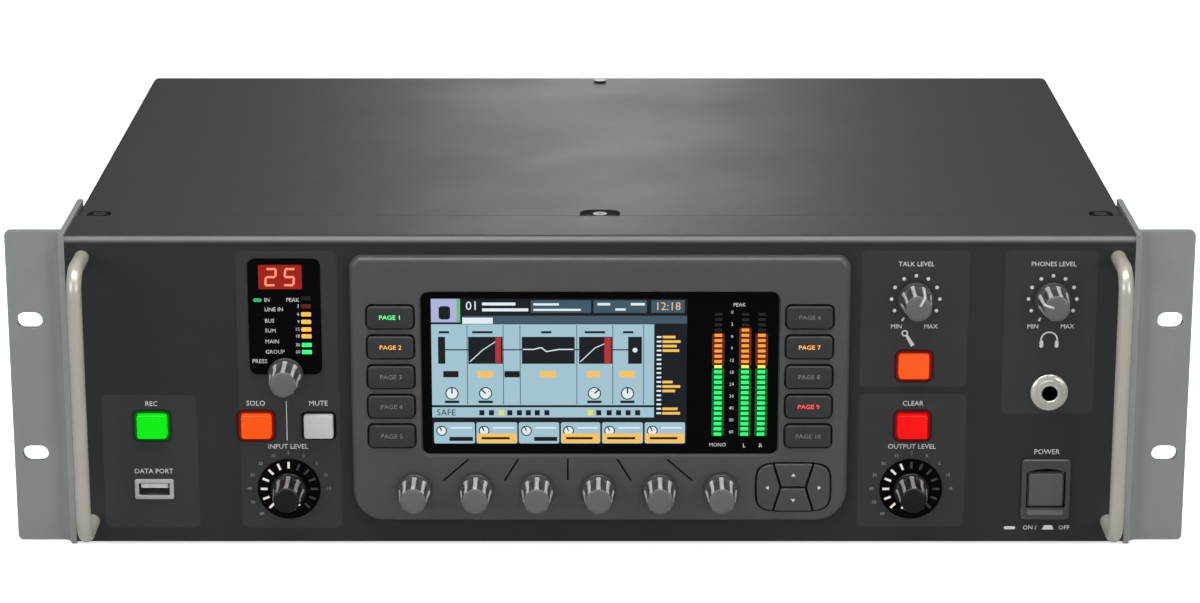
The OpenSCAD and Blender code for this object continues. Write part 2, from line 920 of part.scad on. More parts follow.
module home_key() { display_key(-1, 0); }
module meters_key() { display_key(-1, 1); }
module routing_key() { display_key(-1, 2); }
module library_key() { display_key(-1, 3); }
module effects_key() { display_key(-1, 4); }
module setup_key() { display_key(1, 0); }
module monitor_key() { display_key(1, 1); }
module scenes_key() { display_key(1, 2); }
module mute_group_key() { display_key(1, 3); }
module utility_key() { display_key(1, 4); }

// Quarter of the four-way pad that one key takes: up and down are trapezoids,
// left and right are what is left beside them
module nav_quarter(dir) {
    far = nav_h;
    slope = (nav_top - nav_waist) / (nav_h / 2);
    if (dir[1] != 0)
        polygon([[-nav_waist + nav_gap, dir[1] * nav_gap],
            [nav_waist - nav_gap, dir[1] * nav_gap],
            [nav_waist + slope * far - nav_gap, dir[1] * far],
            [-nav_waist - slope * far + nav_gap, dir[1] * far]]);
    else
        polygon([[dir[0] * (nav_waist + nav_gap), 0],
            [dir[0] * (nav_waist + slope * far + nav_gap), far],
            [dir[0] * nav_w, far],
            [dir[0] * nav_w, -far],
            [dir[0] * (nav_waist + slope * far + nav_gap), -far]]);
}

module nav_key(dir) {
    color([0.27, 0.28, 0.29])
        at(nav_x, nav_z) {
            slab(bezel_y - 1, skin_back_y + 0.1 + eps)
                intersection() {
                    nav_outline(0);
                    nav_quarter(dir);
                }
            slab(skin_back_y + 0.1, skin_back_y + 1.2)
                intersection() {
                    nav_outline(button_gap + 0.6);
                    nav_quarter(dir);
                }
            at(dir[0] * nav_stem[0], dir[1] * nav_stem[1])
                rod(stem_r, skin_back_y + 1.2 - eps, stem_end_y(key_travel));
        }
}

module nav_up_key() { nav_key([0, 1]); }
module nav_down_key() { nav_key([0, -1]); }
module nav_left_key() { nav_key([-1, 0]); }
module nav_right_key() { nav_key([1, 0]); }

module usb_port() {
    color([0.6, 0.6, 0.6])
        at(-col_out, usb_z) {
            difference() {
                union() {
                    slab(face_y - 0.5, face_y)
                        pad(usb_tube[0] + 1.9, usb_tube[1] + 2, 0.8);
                    slab(face_y - eps, face_y + usb_depth + 2)
                        square(usb_tube, center = true);
                }
                slab(face_y - 1, face_y + usb_depth)
                    square(usb_mouth, center = true);
            }
            // Contact tongue
            slab(face_y + 1, face_y + usb_depth)
                translate([0, 1.05])
                    square([11.1, 1.84], center = true);
        }
}

module headphone_jack() {
    color([0.75, 0.75, 0.74])
        at(col_out, jack_z)
            difference() {
                union() {
                    rod(7.6, face_y - 0.8, face_y);
                    rod(5.6, face_y - 2.2, face_y - 0.8 + eps);
                    rod(jack_bushing_r, face_y - eps, panel_back_y + eps);
                    slab(panel_back_y, panel_back_y + 22)
                        square(jack_body, center = true);
                }
                rod(jack_dia / 2, face_y - 3, panel_back_y + 20.5);
            }
}

module power_switch() {
    color([0.1, 0.1, 0.1])
        at(col_out, power_z)
            difference() {
                union() {
                    slab(face_y - frame_stand, face_y)
                        pad(power_frame[0], power_frame[1], 1.5);
                    slab(face_y - eps, face_y + 20)
                        square(power_body, center = true);
                }
                slab(face_y - 2, face_y + 12)
                    pad(power_button + 2 * button_gap, power_button + 0.2 + 2 * button_gap, 0.8);
                rod(2, face_y + 11, face_y + 19);
            }
}

module power_button() {
    color([0.13, 0.13, 0.14])
        at(col_out, power_z) {
            slab(face_y - frame_stand, face_y + 8)
                pad(power_button, power_button + 0.2, 0.7);
            rod(1.7, face_y + 8 - eps, face_y + 18 - power_travel);
        }
}

// ---- Boards and modules inside ----

module tact_switch() {
    difference() {
        slab(board_y - switch_l, board_y)
            square([6, 6], center = true);
        rod(stem_r + 0.2, board_y - switch_l - 1, board_y - 0.6);
    }
}

module control_board() {
    color([0.05, 0.3, 0.15])
        difference() {
            translate([-half_w + 8, board_y, sheet_t + panel_t + 2])
                cube([case_w - 16, board_t, case_h - sheet_t - 2 * panel_t - 6]);
            slab(board_y - 1, board_y + board_t + 1) {
                translate([-col_out, usb_z])
                    square([usb_tube[0] + 1, usb_tube[1] + 1], center = true);
                translate([col_out, jack_z])
                    square(jack_body + 1, center = true);
                translate([col_out, power_z])
                    square([power_body[0] + 1, power_body[1] + 1], center = true);
            }
        }
    color([0.15, 0.15, 0.15]) {
        for (p = lit_places)
            at(p[0], p[1])
                tact_switch();
        for (s = [-1, 1], z = key_rows)
            at(s * key_x, z)
                tact_switch();
        for (d = nav_dirs)
            at(nav_x + d[0] * nav_stem[0], nav_z + d[1] * nav_stem[1])
                tact_switch();
    }
}

module main_board() {
    z = sheet_t + post_h;
    color([0.05, 0.3, 0.15])
        translate([main_x - main_size[0] / 2, main_y - main_size[1] / 2, z])
            cube([main_size[0], main_size[1], board_t]);
    color([0.12, 0.12, 0.12]) {
        for (p = [[-90, 20, 28], [-40, 20, 20], [20, 30, 24], [60, 10, 20]])
            translate([main_x + p[0], main_y + p[1], z + board_t])
                cube([p[2], p[2], 2.4]);
        // Finned heat sink on the processor
        translate([main_x - 20, main_y - 60, z + board_t])
            cube([44, 44, 3]);
        for (i = [0:8])
            translate([main_x - 20 + i * 5.25, main_y - 60, z + board_t + 3 - eps])
                cube([2, 44, 16]);
    }
}

module power_supply() {
    z = sheet_t + post_h;
    color([0.45, 0.35, 0.15])
        translate([psu_x - psu_size[0] / 2, psu_y - psu_size[1] / 2, z])
            cube([psu_size[0], psu_size[1], board_t]);
    color([0.8, 0.7, 0.2])
        translate([psu_x - 18, psu_y - 20, z + board_t])
            cube([34, 34, 26]);
    color([0.1, 0.1, 0.12])
        for (i = [-1, 1])
            translate([psu_x + i * 18, psu_y + 42, z + board_t])
                cylinder(r = 12, h = 30);
    color([0.7, 0.7, 0.72])
        for (s = [-1, 1])
            translate([psu_x + s * 38 - 1.5, psu_y - 55, z + board_t])
                cube([3, 90, 32]);
}

module fan_frame() {
    back = rear_y - sheet_t;
    color([0.08, 0.08, 0.08])
        at(fan_x, fan_z)
            union() {
                difference() {
                    slab(back - fan_t, back)
                        pad(fan_w, fan_w, 4);
                    rod(fan_w / 2 - 1.5, back - fan_t - 1, back + 1);
                }
                // Spider that carries the bearing
                difference() {
                    union() {
                        rod(11, back - 2, back);
                        for (a = [45, 135])
                            rotate([0, a, 0])
                                translate([-fan_w / 2 + 0.5, back - 2, -1.5])
                                    cube([fan_w - 1, 2, 3]);
                        rod(3.2, back - 6, back - 2 + eps);
                    }
                    rod(1.5 + shaft_gap, back - 7, back - 0.6);
                }
            }
}

module fan_rotor() {
    back = rear_y - sheet_t;
    tip = fan_w / 2 - 2.3;
    y0 = back - fan_t + 1;
    y1 = back - 2.8;
    color([0.1, 0.1, 0.1])
        at(fan_x, fan_z)
            union() {
                difference() {
                    rod(11.5, y0, y1);
                    rod(10, y0 + 1.5, y1 + 1);
                }
                rod(1.5, y0 + 1, back - 1);
                intersection() {
                    difference() {
                        rod(tip, y0, y1);
                        rod(11, y0 - 1, y1 + 1);
                    }
                    for (i = [0:6])
                        rotate([0, i * 360 / 7, 0])
                            translate([0, (y0 + y1) / 2, 0])
                                rotate([0, 0, 42])
                                    translate([-12, -0.6, 0])
                                        cube([24, 1.2, tip + 2]);
                }
            }
}

// ---- Rear sockets ----

module xlr_flange() {
    slab(rear_y, rear_y + socket_plate_t)
        pad(26, 31, 3);
}

// Socket that takes a plug with pins: a solid nose in a ring-shaped slot
module xlr_input() {
    difference() {
        union() {
            xlr_flange();
            rod(xlr_r, rear_y - 20, rear_y + eps);
        }
        difference() {
            rod(10.8, rear_y - 10, rear_y + 2);
            rod(9.2, rear_y - 11, rear_y + 3);
        }
        for (a = [0, 120, 240])
            rotate([0, a, 0])
                at(4, 0)
                    rod(1.25, rear_y - 12, rear_y + 2);
    }
}

// Socket with three pins in a cup
module xlr_output() {
    difference() {
        union() {
            xlr_flange();
            rod(xlr_r, rear_y - 20, rear_y + eps);
        }
        rod(9.4, rear_y - 13, rear_y + 2);
    }
    for (a = [30, 150, 270])
        rotate([0, a, 0])
            at(4, 0)
                rod(1.2, rear_y - 14, rear_y - 0.5);
}

module xlr_sockets() {
    color([0.14, 0.14, 0.15])
        for (i = [0:xlr_count - 1], z = xlr_rows)
            at(xlr_x0 + i * xlr_pitch, z)
                if (i < xlr_out_first)
                    xlr_input();
                else
                    xlr_output();
}

module line_sockets() {
    color([0.2, 0.2, 0.2])
        for (x = jack_xs)
            at(x, low_row_z)
                difference() {
                    union() {
                        slab(rear_y - sheet_t - 24, rear_y - sheet_t)
                            square([14, 15], center = true);
                        rod(jack_bushing_r, rear_y - sheet_t - eps, rear_y + 3);
                        rod(6.5, rear_y, rear_y + 1.8);
                    }
                    rod(jack_dia / 2, rear_y - 22, rear_y + 4);
                }
}

// Plate with three network sockets and one square USB socket
module data_card() {
    color([0.3, 0.31, 0.32])
        at(card_x, low_row_z)
            difference() {
                union() {
                    slab(rear_y, rear_y + socket_plate_t)
                        pad(card_cut[0] + 12, card_cut[1] + 8, 1);
                    for (x = card_net_x)
                        at(x, 0)
                            slab(rear_y - 22, rear_y + eps)
                                square([16, 14], center = true);
                    at(card_usb_x, 0)
                        slab(rear_y - 16, rear_y + eps)
                            square([12, 11], center = true);
                }
                for (x = card_net_x)
                    at(x, 0)
                        slab(rear_y - 14, rear_y + 2)
                            square([11.8, 8.2], center = true);
                at(card_usb_x, 0)
                    slab(rear_y - 9, rear_y + 2)
                        difference() {
                            square([8.5, 7.8], center = true);
                            square([5.6, 3.2], center = true);
                        }
            }
}

module mains_inlet() {
    color([0.07, 0.07, 0.07])
        at(inlet_x, inlet_z)
            difference() {
                union() {
                    slab(rear_y, rear_y + 2)
                        pad(50, 27, 4);
                    slab(rear_y - 24, rear_y + eps)
                        square(inlet_body, center = true);
                }
                slab(rear_y - 16, rear_y + 3)
                    pad(24.4, 16.8, 2);
            }
    color([0.8, 0.8, 0.75])
        at(inlet_x, inlet_z)
            for (p = [[-7, -2], [0, 2], [7, -2]])
                at(p[0], p[1])
                    slab(rear_y - 16, rear_y - 2)
                        square([2, 4], center = true);
}

// ---- Fasteners ----

// Screw pointing along -Z from its head's underside
module screw(r, head_r, head_t, l) {
    cylinder(r = head_r, h = head_t);
    translate([0, 0, -l])
        cylinder(r = r, h = l + eps);
}

module screws() {
    color([0.1, 0.1, 0.1]) {
        for (x = cover_screw_x)
            translate([x, cover_screw_y, case_h - sheet_t])
                screw(screw_r, screw_head_r, screw_head_t, 5);
        translate([0, rear_y - 8, case_h])
            screw(screw_r, screw_head_r, 0.9, 6);
        for (s = [-1, 1], z = [handle_end, unit_h - handle_end])
            translate([s * handle_x, panel_back_y, z])
                rotate([-90, 0, 0])
                    screw(handle_screw_r, 3.5, 2.2, handle_screw_l + panel_t);
        for (s = [-1, 1], z = [ear_screw_inset, unit_h - ear_screw_inset])
            translate([s * (half_w + flange_t), ear_screw_y, z])
                rotate([0, s * 90, 0])
                    screw(screw_r, screw_head_r, 1.8, flange_t + 6);
    }
}

chassis_tray();
top_cover();
front_panel();
rear_panel();
rack_ear_left();
rack_ear_right();
handle_left();
handle_right();
display_bezel();
display_window();
lcd_module();
led_modules();
channel_window();
level_rings();
usb_port();
headphone_jack();
power_switch();
encoder_bodies();
control_board();
main_board();
power_supply();
fan_frame();
fan_rotor();
xlr_sockets();
line_sockets();
data_card();
mains_inlet();
screws();
display_knob_1();
display_knob_2();
display_knob_3();
display_knob_4();
display_knob_5();
display_knob_6();
channel_level_knob();
main_level_knob();
talk_knob();
monitor_knob();
select_rotor();
select_knob();
usb_button();
solo_button();
mute_button();
talk_button();
clear_solo_button();
home_key();
meters_key();
routing_key();
library_key();
effects_key();
setup_key();
monitor_key();
scenes_key();
mute_group_key();
utility_key();
nav_up_key();
nav_down_key();
nav_left_key();
nav_right_key();
power_button();
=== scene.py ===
"""Rack-mounted digital mixer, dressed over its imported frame. Metres, +Z up, its front faces -Y."""

import bpy
import numpy as np
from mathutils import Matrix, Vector
from mathutils.geometry import tessellate_polygon


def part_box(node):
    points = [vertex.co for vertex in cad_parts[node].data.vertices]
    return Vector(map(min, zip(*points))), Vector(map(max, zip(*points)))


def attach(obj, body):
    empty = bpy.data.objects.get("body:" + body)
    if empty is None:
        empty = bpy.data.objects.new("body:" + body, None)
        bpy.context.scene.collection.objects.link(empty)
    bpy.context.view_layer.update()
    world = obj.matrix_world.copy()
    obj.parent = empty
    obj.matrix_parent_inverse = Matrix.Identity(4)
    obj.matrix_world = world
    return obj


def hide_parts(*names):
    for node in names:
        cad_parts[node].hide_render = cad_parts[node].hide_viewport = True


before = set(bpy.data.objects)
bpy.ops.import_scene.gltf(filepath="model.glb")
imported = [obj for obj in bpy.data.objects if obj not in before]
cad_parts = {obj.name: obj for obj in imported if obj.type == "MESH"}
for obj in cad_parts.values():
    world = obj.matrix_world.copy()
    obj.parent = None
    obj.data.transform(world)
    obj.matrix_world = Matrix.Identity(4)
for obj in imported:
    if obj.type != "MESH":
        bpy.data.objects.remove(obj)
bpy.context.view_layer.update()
mm = 0.001

# ---- View and studio ----
# The camera stands in front and a little above the cover, with a long lens. The mixer rests on a
# pale floor that fades into the white room. Soft boxes hang overhead and stand behind the case, one
# of them low for the rear panel, and two weaker ones fill the front.
collection = bpy.context.scene.collection
camera = bpy.data.objects.new("camera", bpy.data.cameras.new("camera"))
camera.data.lens = 104.7
camera.data.sensor_width = 36.0
camera.location = (0.0, -1.3674, 0.4981)
camera.rotation_euler = (np.radians(73.844), 0.0, 0.0)
collection.objects.link(camera)
bpy.context.scene.camera = camera
bpy.context.scene.view_settings.view_transform = "Standard"


def soft_box(name, place, target, width, height, power):
    """A rectangular light at a place, turned so that it shines on a target."""
    lamp = bpy.data.lights.new(name, "AREA")
    lamp.shape = "RECTANGLE"
    lamp.size = width
    lamp.size_y = height
    lamp.energy = power
    holder = bpy.data.objects.new(name, lamp)
    holder.location = place
    holder.rotation_euler = (Vector(target) - Vector(place)).to_track_quat("-Z", "Y").to_euler()
    collection.objects.link(holder)
    return holder


soft_box("overhead_box", (0.0, -0.35, 1.25), (0.0, 0.0, 0.1), 1.5, 0.5, 16.0)
soft_box("cover_strip", (0.0, 2.1, 0.62), (0.0, 0.15, 0.13), 0.28, 0.7, 2.2)
soft_box("left_fill", (-1.5, -1.5, 0.75), (0.0, 0.0, 0.08), 0.9, 0.9, 9.5)
soft_box("right_fill", (1.5, -1.5, 0.75), (0.0, 0.0, 0.08), 0.9, 0.9, 9.5)
soft_box("rear_fill", (0.9, 1.9, 1.3), (0.0, 0.2, 0.1), 0.8, 0.5, 0.6)
rear_low = soft_box("rear_low", (0.4, 2.3, 0.24), (0.0, 0.29, 0.07), 0.9, 0.3, 18.0)
rear_low.visible_glossy = False
rear_low.visible_camera = False

floor_half = 12.0
floor_mesh = bpy.data.meshes.new("floor")
floor_corners = [(x * floor_half, y * floor_half, -0.0004) for x, y in ((-1, -1), (1, -1), (1, 1), (-1, 1))]
floor_mesh.from_pydata(floor_corners, [], [(0, 1, 2, 3)])
floor = bpy.data.objects.new("floor", floor_mesh)
collection.objects.link(floor)
floor.visible_glossy = False
floor_paint = bpy.data.materials.new("floor_paint")
floor_paint.use_nodes = True
floor_shader = floor_paint.node_tree.nodes["Principled BSDF"]
floor_shader.inputs["Base Color"].default_value = (0.9, 0.9, 0.9, 1.0)
floor_shader.inputs["Roughness"].default_value = 0.9
floor_shader.inputs["Emission Color"].default_value = (0.7, 0.7, 0.7, 1.0)
seen_by = floor_paint.node_tree.nodes.new("ShaderNodeLightPath")
floor_paint.node_tree.links.new(seen_by.outputs["Is Camera Ray"], floor_shader.inputs["Emission Strength"])
floor_mesh.materials.append(floor_paint)

# The room is white to look at and a dim grey in what it lights and in what shines
world = bpy.data.worlds.new("room")
world.use_nodes = True
room = world.node_tree
room.nodes.clear()
seen_white = room.nodes.new("ShaderNodeBackground")
seen_white.inputs["Color"].default_value = (1.0, 1.0, 1.0, 1.0)
seen_white.inputs["Strength"].default_value = 1.6
dim_grey = room.nodes.new("ShaderNodeBackground")
dim_grey.inputs["Color"].default_value = (0.93, 0.97, 1.0, 1.0)
dim_grey.inputs["Strength"].default_value = 0.2
which_ray = room.nodes.new("ShaderNodeLightPath")
either = room.nodes.new("ShaderNodeMixShader")
room_out = room.nodes.new("ShaderNodeOutputWorld")
room.links.new(which_ray.outputs["Is Camera Ray"], either.inputs["Fac"])
room.links.new(dim_grey.outputs[0], either.inputs[1])
room.links.new(seen_white.outputs[0], either.inputs[2])
room.links.new(either.outputs[0], room_out.inputs["Surface"])
bpy.context.scene.world = world

# ---- Steel case: tray, top cover and rear panel ----
# Folded 1.5 mm steel sheet with a fine, nearly black powder coat. The cover lies on the front
# panel's lip and is held by four screws. Its folded edges are painted paler, partly as wear and partly as a
# painted highlight, and the rear panel takes a paler copy of the coat as painted light.


def node_group(name, inputs, outputs):
    """An empty shader group with named sockets, and its two end nodes."""
    tree = bpy.data.node_groups.new(name, "ShaderNodeTree")
    for label, value in inputs:
        tree.interface.new_socket(label, in_out="INPUT", socket_type="NodeSocketFloat").default_value = value
    for label in outputs:
        tree.interface.new_socket(label, in_out="OUTPUT", socket_type="NodeSocketFloat")
    return tree, tree.nodes.new("NodeGroupInput"), tree.nodes.new("NodeGroupOutput")


def maths(tree, kind, first, second, clamp=False):
    """One Math node; each side is a socket or a plain number."""
    node = tree.nodes.new("ShaderNodeMath")
    node.operation = kind
    node.use_clamp = clamp
    for slot, value in enumerate((first, second)):
        if isinstance(value, (int, float)):
            node.inputs[slot].default_value = value
        else:
            tree.links.new(value, node.inputs[slot])
    return node.outputs[0]


def noise(tree, scale, detail):
    """A noise pattern on Object coordinates."""
    where = tree.nodes.new("ShaderNodeTexCoord")
    node = tree.nodes.new("ShaderNodeTexNoise")
    node.inputs["Detail"].default_value = detail
    tree.links.new(where.outputs["Object"], node.inputs["Vector"])
    if isinstance(scale, (int, float)):
        node.inputs["Scale"].default_value = scale
    else:
        tree.links.new(scale, node.inputs["Scale"])
    return node.outputs["Fac"]


# Fine grain: Height is the grain itself, Tone a slow drift about 1, Smear where hands have rubbed
fine_grain, grain_in, grain_out = node_group(
    "fine_grain", [("Size", 2500.0), ("Mottle", 0.1), ("Smudge", 0.1)], ["Tone", "Height", "Smear"]
)
drift = maths(fine_grain, "SUBTRACT", noise(fine_grain, 34.0, 3.0), 0.5)
speck = maths(fine_grain, "SUBTRACT", noise(fine_grain, 1400.0, 1.0), 0.5)
slow = maths(fine_grain, "MULTIPLY", drift, 2.0)
quick = maths(fine_grain, "MULTIPLY", speck, 1.2)
both = maths(fine_grain, "ADD", slow, quick)
tone = maths(fine_grain, "ADD", maths(fine_grain, "MULTIPLY", both, grain_in.outputs["Mottle"]), 1.0)
rubbed = maths(fine_grain, "SUBTRACT", noise(fine_grain, 19.0, 4.0), 0.5)
fine_grain.links.new(tone, grain_out.inputs["Tone"])
fine_grain.links.new(noise(fine_grain, grain_in.outputs["Size"], 2.0), grain_out.inputs["Height"])
smear = maths(fine_grain, "MULTIPLY", rubbed, grain_in.outputs["Smudge"])
fine_grain.links.new(smear, grain_out.inputs["Smear"])

# Worn, highlit edges: 1 where the surface turns sharply within Width, broken up by a coarse noise; the paler
# colour mixed in there is partly wear and partly a painted highlight
worn_highlight_edges, highlit_edge_in, highlit_edge_out = node_group("worn_highlight_edges", [("Width", 0.0008), ("Amount", 0.5)], ["Mask"])
rounded = worn_highlight_edges.nodes.new("ShaderNodeBevel")
rounded.samples = 4
worn_highlight_edges.links.new(highlit_edge_in.outputs["Width"], rounded.inputs["Radius"])
surface = worn_highlight_edges.nodes.new("ShaderNodeNewGeometry")
agree = worn_highlight_edges.nodes.new("ShaderNodeVectorMath")
agree.operation = "DOT_PRODUCT"
worn_highlight_edges.links.new(rounded.outputs["Normal"], agree.inputs[0])
worn_highlight_edges.links.new(surface.outputs["Normal"], agree.inputs[1])
turned_away = maths(worn_highlight_edges, "SUBTRACT", 1.0, agree.outputs["Value"])
patchy = maths(worn_highlight_edges, "ADD", noise(worn_highlight_edges, 260.0, 3.0), 0.25, clamp=True)
edge = maths(worn_highlight_edges, "MULTIPLY", maths(worn_highlight_edges, "MULTIPLY", turned_away, 5.0, clamp=True), patchy)
worn_highlight_edges.links.new(maths(worn_highlight_edges, "MULTIPLY", edge, highlit_edge_in.outputs["Amount"]), highlit_edge_out.inputs["Mask"])


def finish(name, colour, rough, metal=0.0, grain=2500.0, depth=0.03, mottle=0.08, smudge=0.12,
           wear_and_highlight=0.0, worn_highlight_colour=(0.3, 0.3, 0.3), coat=0.0, glow=None, power=1.0, specular=0.5):
    """A surface from its colour and roughness, with fine grain, slow drift, smears and paler edges that stand
    for wear and a painted highlight.
    """
    material = bpy.data.materials.new(name)
    material.use_nodes = True
    tree = material.node_tree
    shader = tree.nodes["Principled BSDF"]
    shader.inputs["Metallic"].default_value = metal
    shader.inputs["Specular IOR Level"].default_value = specular
    shader.inputs["Coat Weight"].default_value = coat
    shader.inputs["Coat Roughness"].default_value = 0.06
    skin = tree.nodes.new("ShaderNodeGroup")
    skin.node_tree = fine_grain
    skin.inputs["Size"].default_value = grain
    skin.inputs["Mottle"].default_value = mottle
    skin.inputs["Smudge"].default_value = smudge
    tinted = tree.nodes.new("ShaderNodeVectorMath")
    tinted.operation = "SCALE"
    tinted.inputs[0].default_value = colour
    tree.links.new(skin.outputs["Tone"], tinted.inputs["Scale"])
    colour_now = tinted.outputs[0]
    # Edges turn towards a paler colour: partly wear, partly a painted highlight where the edges would catch
    # light
    if wear_and_highlight:
        edges = tree.nodes.new("ShaderNodeGroup")
        edges.node_tree = worn_highlight_edges
        edges.inputs["Amount"].default_value = wear_and_highlight
        mix = tree.nodes.new("ShaderNodeMix")
        mix.data_type = "RGBA"
        tree.links.new(edges.outputs["Mask"], mix.inputs["Factor"])
        tree.links.new(colour_now, mix.inputs["A"])
        mix.inputs["B"].default_value = (*worn_highlight_colour, 1.0)
        colour_now = mix.outputs["Result"]
    tree.links.new(colour_now, shader.inputs["Base Color"])
    tree.links.new(maths(tree, "ADD", skin.outputs["Smear"], rough, clamp=True), shader.inputs["Roughness"])
    bump = tree.nodes.new("ShaderNodeBump")
    bump.inputs["Strength"].default_value = depth * 10
    bump.inputs["Distance"].default_value = 0.00008
    tree.links.new(skin.outputs["Height"], bump.inputs["Height"])
    tree.links.new(bump.outputs["Normal"], shader.inputs["Normal"])
    if glow:
        lit = tree.nodes.new("ShaderNodeVectorMath")
        lit.operation = "SCALE"
        lit.inputs[0].default_value = glow
        tree.links.new(skin.outputs["Tone"], lit.inputs["Scale"])
        tree.links.new(lit.outputs[0], shader.inputs["Emission Color"])
        shader.inputs["Emission Strength"].default_value = power
    return material


def dress(node, material):
    """A CAD node keeps its shape and takes a material."""
    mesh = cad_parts[node].data
    mesh.materials.clear()
    mesh.materials.append(material)


case_paint = finish("case_paint", (0.028, 0.031, 0.031), 0.44, grain=1500.0, depth=0.05, mottle=0.05,
                    wear_and_highlight=0.35, worn_highlight_colour=(0.12, 0.125, 0.125), specular=0.24)
dress("top_cover", case_paint)
# The rear panel takes a paler copy of the case paint: painted light for the dimly lit rear, not a different
# coat
dress("rear_panel", finish("rear_paint_painted_light", (0.046, 0.049, 0.05), 0.44, grain=1500.0, depth=0.05, mottle=0.06,
                           wear_and_highlight=0.3, worn_highlight_colour=(0.14, 0.145, 0.145), specular=0.3))
tray_zinc = finish("tray_zinc", (0.3, 0.31, 0.32), 0.42, metal=0.85, grain=600.0, mottle=0.25, wear_and_highlight=0.2)
dress("chassis_tray", tray_zinc)

# ---- Front panel ----
# An extruded aluminium plate, blasted and anodised nearly black, with a rounded top front edge.
# Its functions are grouped on slightly paler printed fields with round corners.
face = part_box("front_panel")[0].y / mm
half_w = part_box("front_panel")[1].x / mm
panel_paint = finish("panel_paint", (0.0180, 0.0200, 0.0208), 0.46, grain=2800.0, depth=0.04, mottle=0.06,
                     wear_and_highlight=0.25, worn_highlight_colour=(0.16, 0.165, 0.17))
dress("front_panel", panel_paint)

# The rounded top edge is painted paler as a highlight where the overhead light catches it: the mask is the
# normal's upward share times its forward share
metal = panel_paint.node_tree
facing = metal.nodes.new("ShaderNodeSeparateXYZ")
metal.links.new(metal.nodes.new("ShaderNodeNewGeometry").outputs["Normal"], facing.inputs[0])
slanted = maths(metal, "MULTIPLY", facing.outputs["Z"], maths(metal, "MULTIPLY", facing.outputs["Y"], -3.0))
painted_highlight = metal.nodes.new("ShaderNodeMix")
painted_highlight.data_type = "RGBA"
metal.links.new(maths(metal, "SUBTRACT", slanted, 0.6, clamp=True), painted_highlight.inputs["Factor"])
metal.links.new(metal.nodes["Principled BSDF"].inputs["Base Color"].links[0].from_socket, painted_highlight.inputs["A"])
painted_highlight.inputs["B"].default_value = (0.17, 0.178, 0.18, 1.0)
metal.links.new(painted_highlight.outputs["Result"], metal.nodes["Principled BSDF"].inputs["Base Color"])


def build(name, parts, materials, body="chassis", stands_for=(), smooth=True):
    """One welded piece from parts in millimetres: points, blocks of faces and a material number each."""
    points, faces, numbers, start = [], [], [], 0
    for part in parts:
        points.append(part[0])
        for block in part[1]:
            faces += (np.asarray(block) + start).tolist()
            numbers += [part[2] if len(part) > 2 else 0] * len(block)
        start += len(part[0])
    whole, weld = np.unique(np.round(np.concatenate(points), 4), axis=0, return_inverse=True)
    weld = weld.ravel().tolist()
    mesh = bpy.data.meshes.new(name)
    mesh.from_pydata(whole * mm, [], [[weld[i] for i in corners] for corners in faces])
    mesh.polygons.foreach_set("material_index", numbers)
    mesh.polygons.foreach_set("use_smooth", [smooth] * len(faces))
    mesh.update()
    if smooth:
        mesh.set_sharp_from_angle(angle=np.radians(35.0))
    for material in materials if isinstance(materials, (list, tuple)) else [materials]:
        mesh.materials.append(material)
    piece = bpy.data.objects.new(name, mesh)
    collection.objects.link(piece)
    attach(piece, body)
    if stands_for:
        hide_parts(*stands_for)
    return piece


def rounded(w, h, r, steps=5):
    """Outline of a rounded rectangle about 0, counter-clockwise: four quarter circles of radius r."""
    turn = np.linspace(0.0, np.pi / 2, steps + 1)
    corners = []
    for quarter, (sx, sz) in enumerate(((1, 1), (-1, 1), (-1, -1), (1, -1))):
        angle = turn + quarter * np.pi / 2
        corners.append(np.c_[sx * (w / 2 - r) + r * np.cos(angle), sz * (h / 2 - r) + r * np.sin(angle)])
    return np.concatenate(corners)


def circle(r, sides=48):
    """Outline of a circle about 0, counter-clockwise."""
    angle = np.linspace(0.0, 2 * np.pi, sides, endpoint=False)
    return np.c_[r * np.cos(angle), r * np.sin(angle)]


def flat(outline):
    """One flat face inside an outline of X and Z."""
    outline = np.asarray(outline, float)
    return outline, [np.arange(len(outline))[None]]


def moved(shape, x, z):
    """A flat shape shifted in X and Z."""
    return shape[0] + np.array([x, z]), shape[1]


def tile(x, z, w, h, r=0.0):
    """A rectangle about a point, with round corners if it has a radius."""
    if r:
        return moved(flat(rounded(w, h, r)), x, z)
    return moved(flat([(w / 2, h / 2), (-w / 2, h / 2), (-w / 2, -h / 2), (w / 2, -h / 2)]), x, z)


def span(x0, x1, z0, z1, r=0.0):
    """A rectangle between two X and two Z, with round corners if it has a radius."""
    return tile((x0 + x1) / 2, (z0 + z1) / 2, x1 - x0, z1 - z0, r)


def dot(x, z, r, sides=14):
    """A filled circle."""
    return moved(flat(circle(r, sides)), x, z)


def polar(x, z, r, degrees):
    """The point at a radius and an angle from a middle."""
    return x + r * np.cos(np.radians(degrees)), z + r * np.sin(np.radians(degrees))


def arc(x, z, inner, outer, start, stop, steps=24):
    """A band between two radii, from one angle to another in degrees, as quads."""
    angle = np.radians(np.linspace(start, stop, steps + 1))
    ray = np.c_[np.cos(angle), np.sin(angle)]
    i = np.arange(steps)
    far = i + steps + 1
    band = np.concatenate([ray * outer, ray * inner]) + np.array([x, z])
    return band, [np.stack([i, i + 1, far + 1, far], -1)]


def stroke(x0, z0, x1, z1, w, w1=None):
    """A straight line with a width at each end."""
    along = np.array([x1 - x0, z1 - z0])
    side = np.array([-along[1], along[0]]) / np.hypot(*along) / 2
    a, b = np.array([x0, z0]), np.array([x1, z1])
    far = w if w1 is None else w1
    return flat([a - side * w, b - side * far, b + side * far, a + side * w])


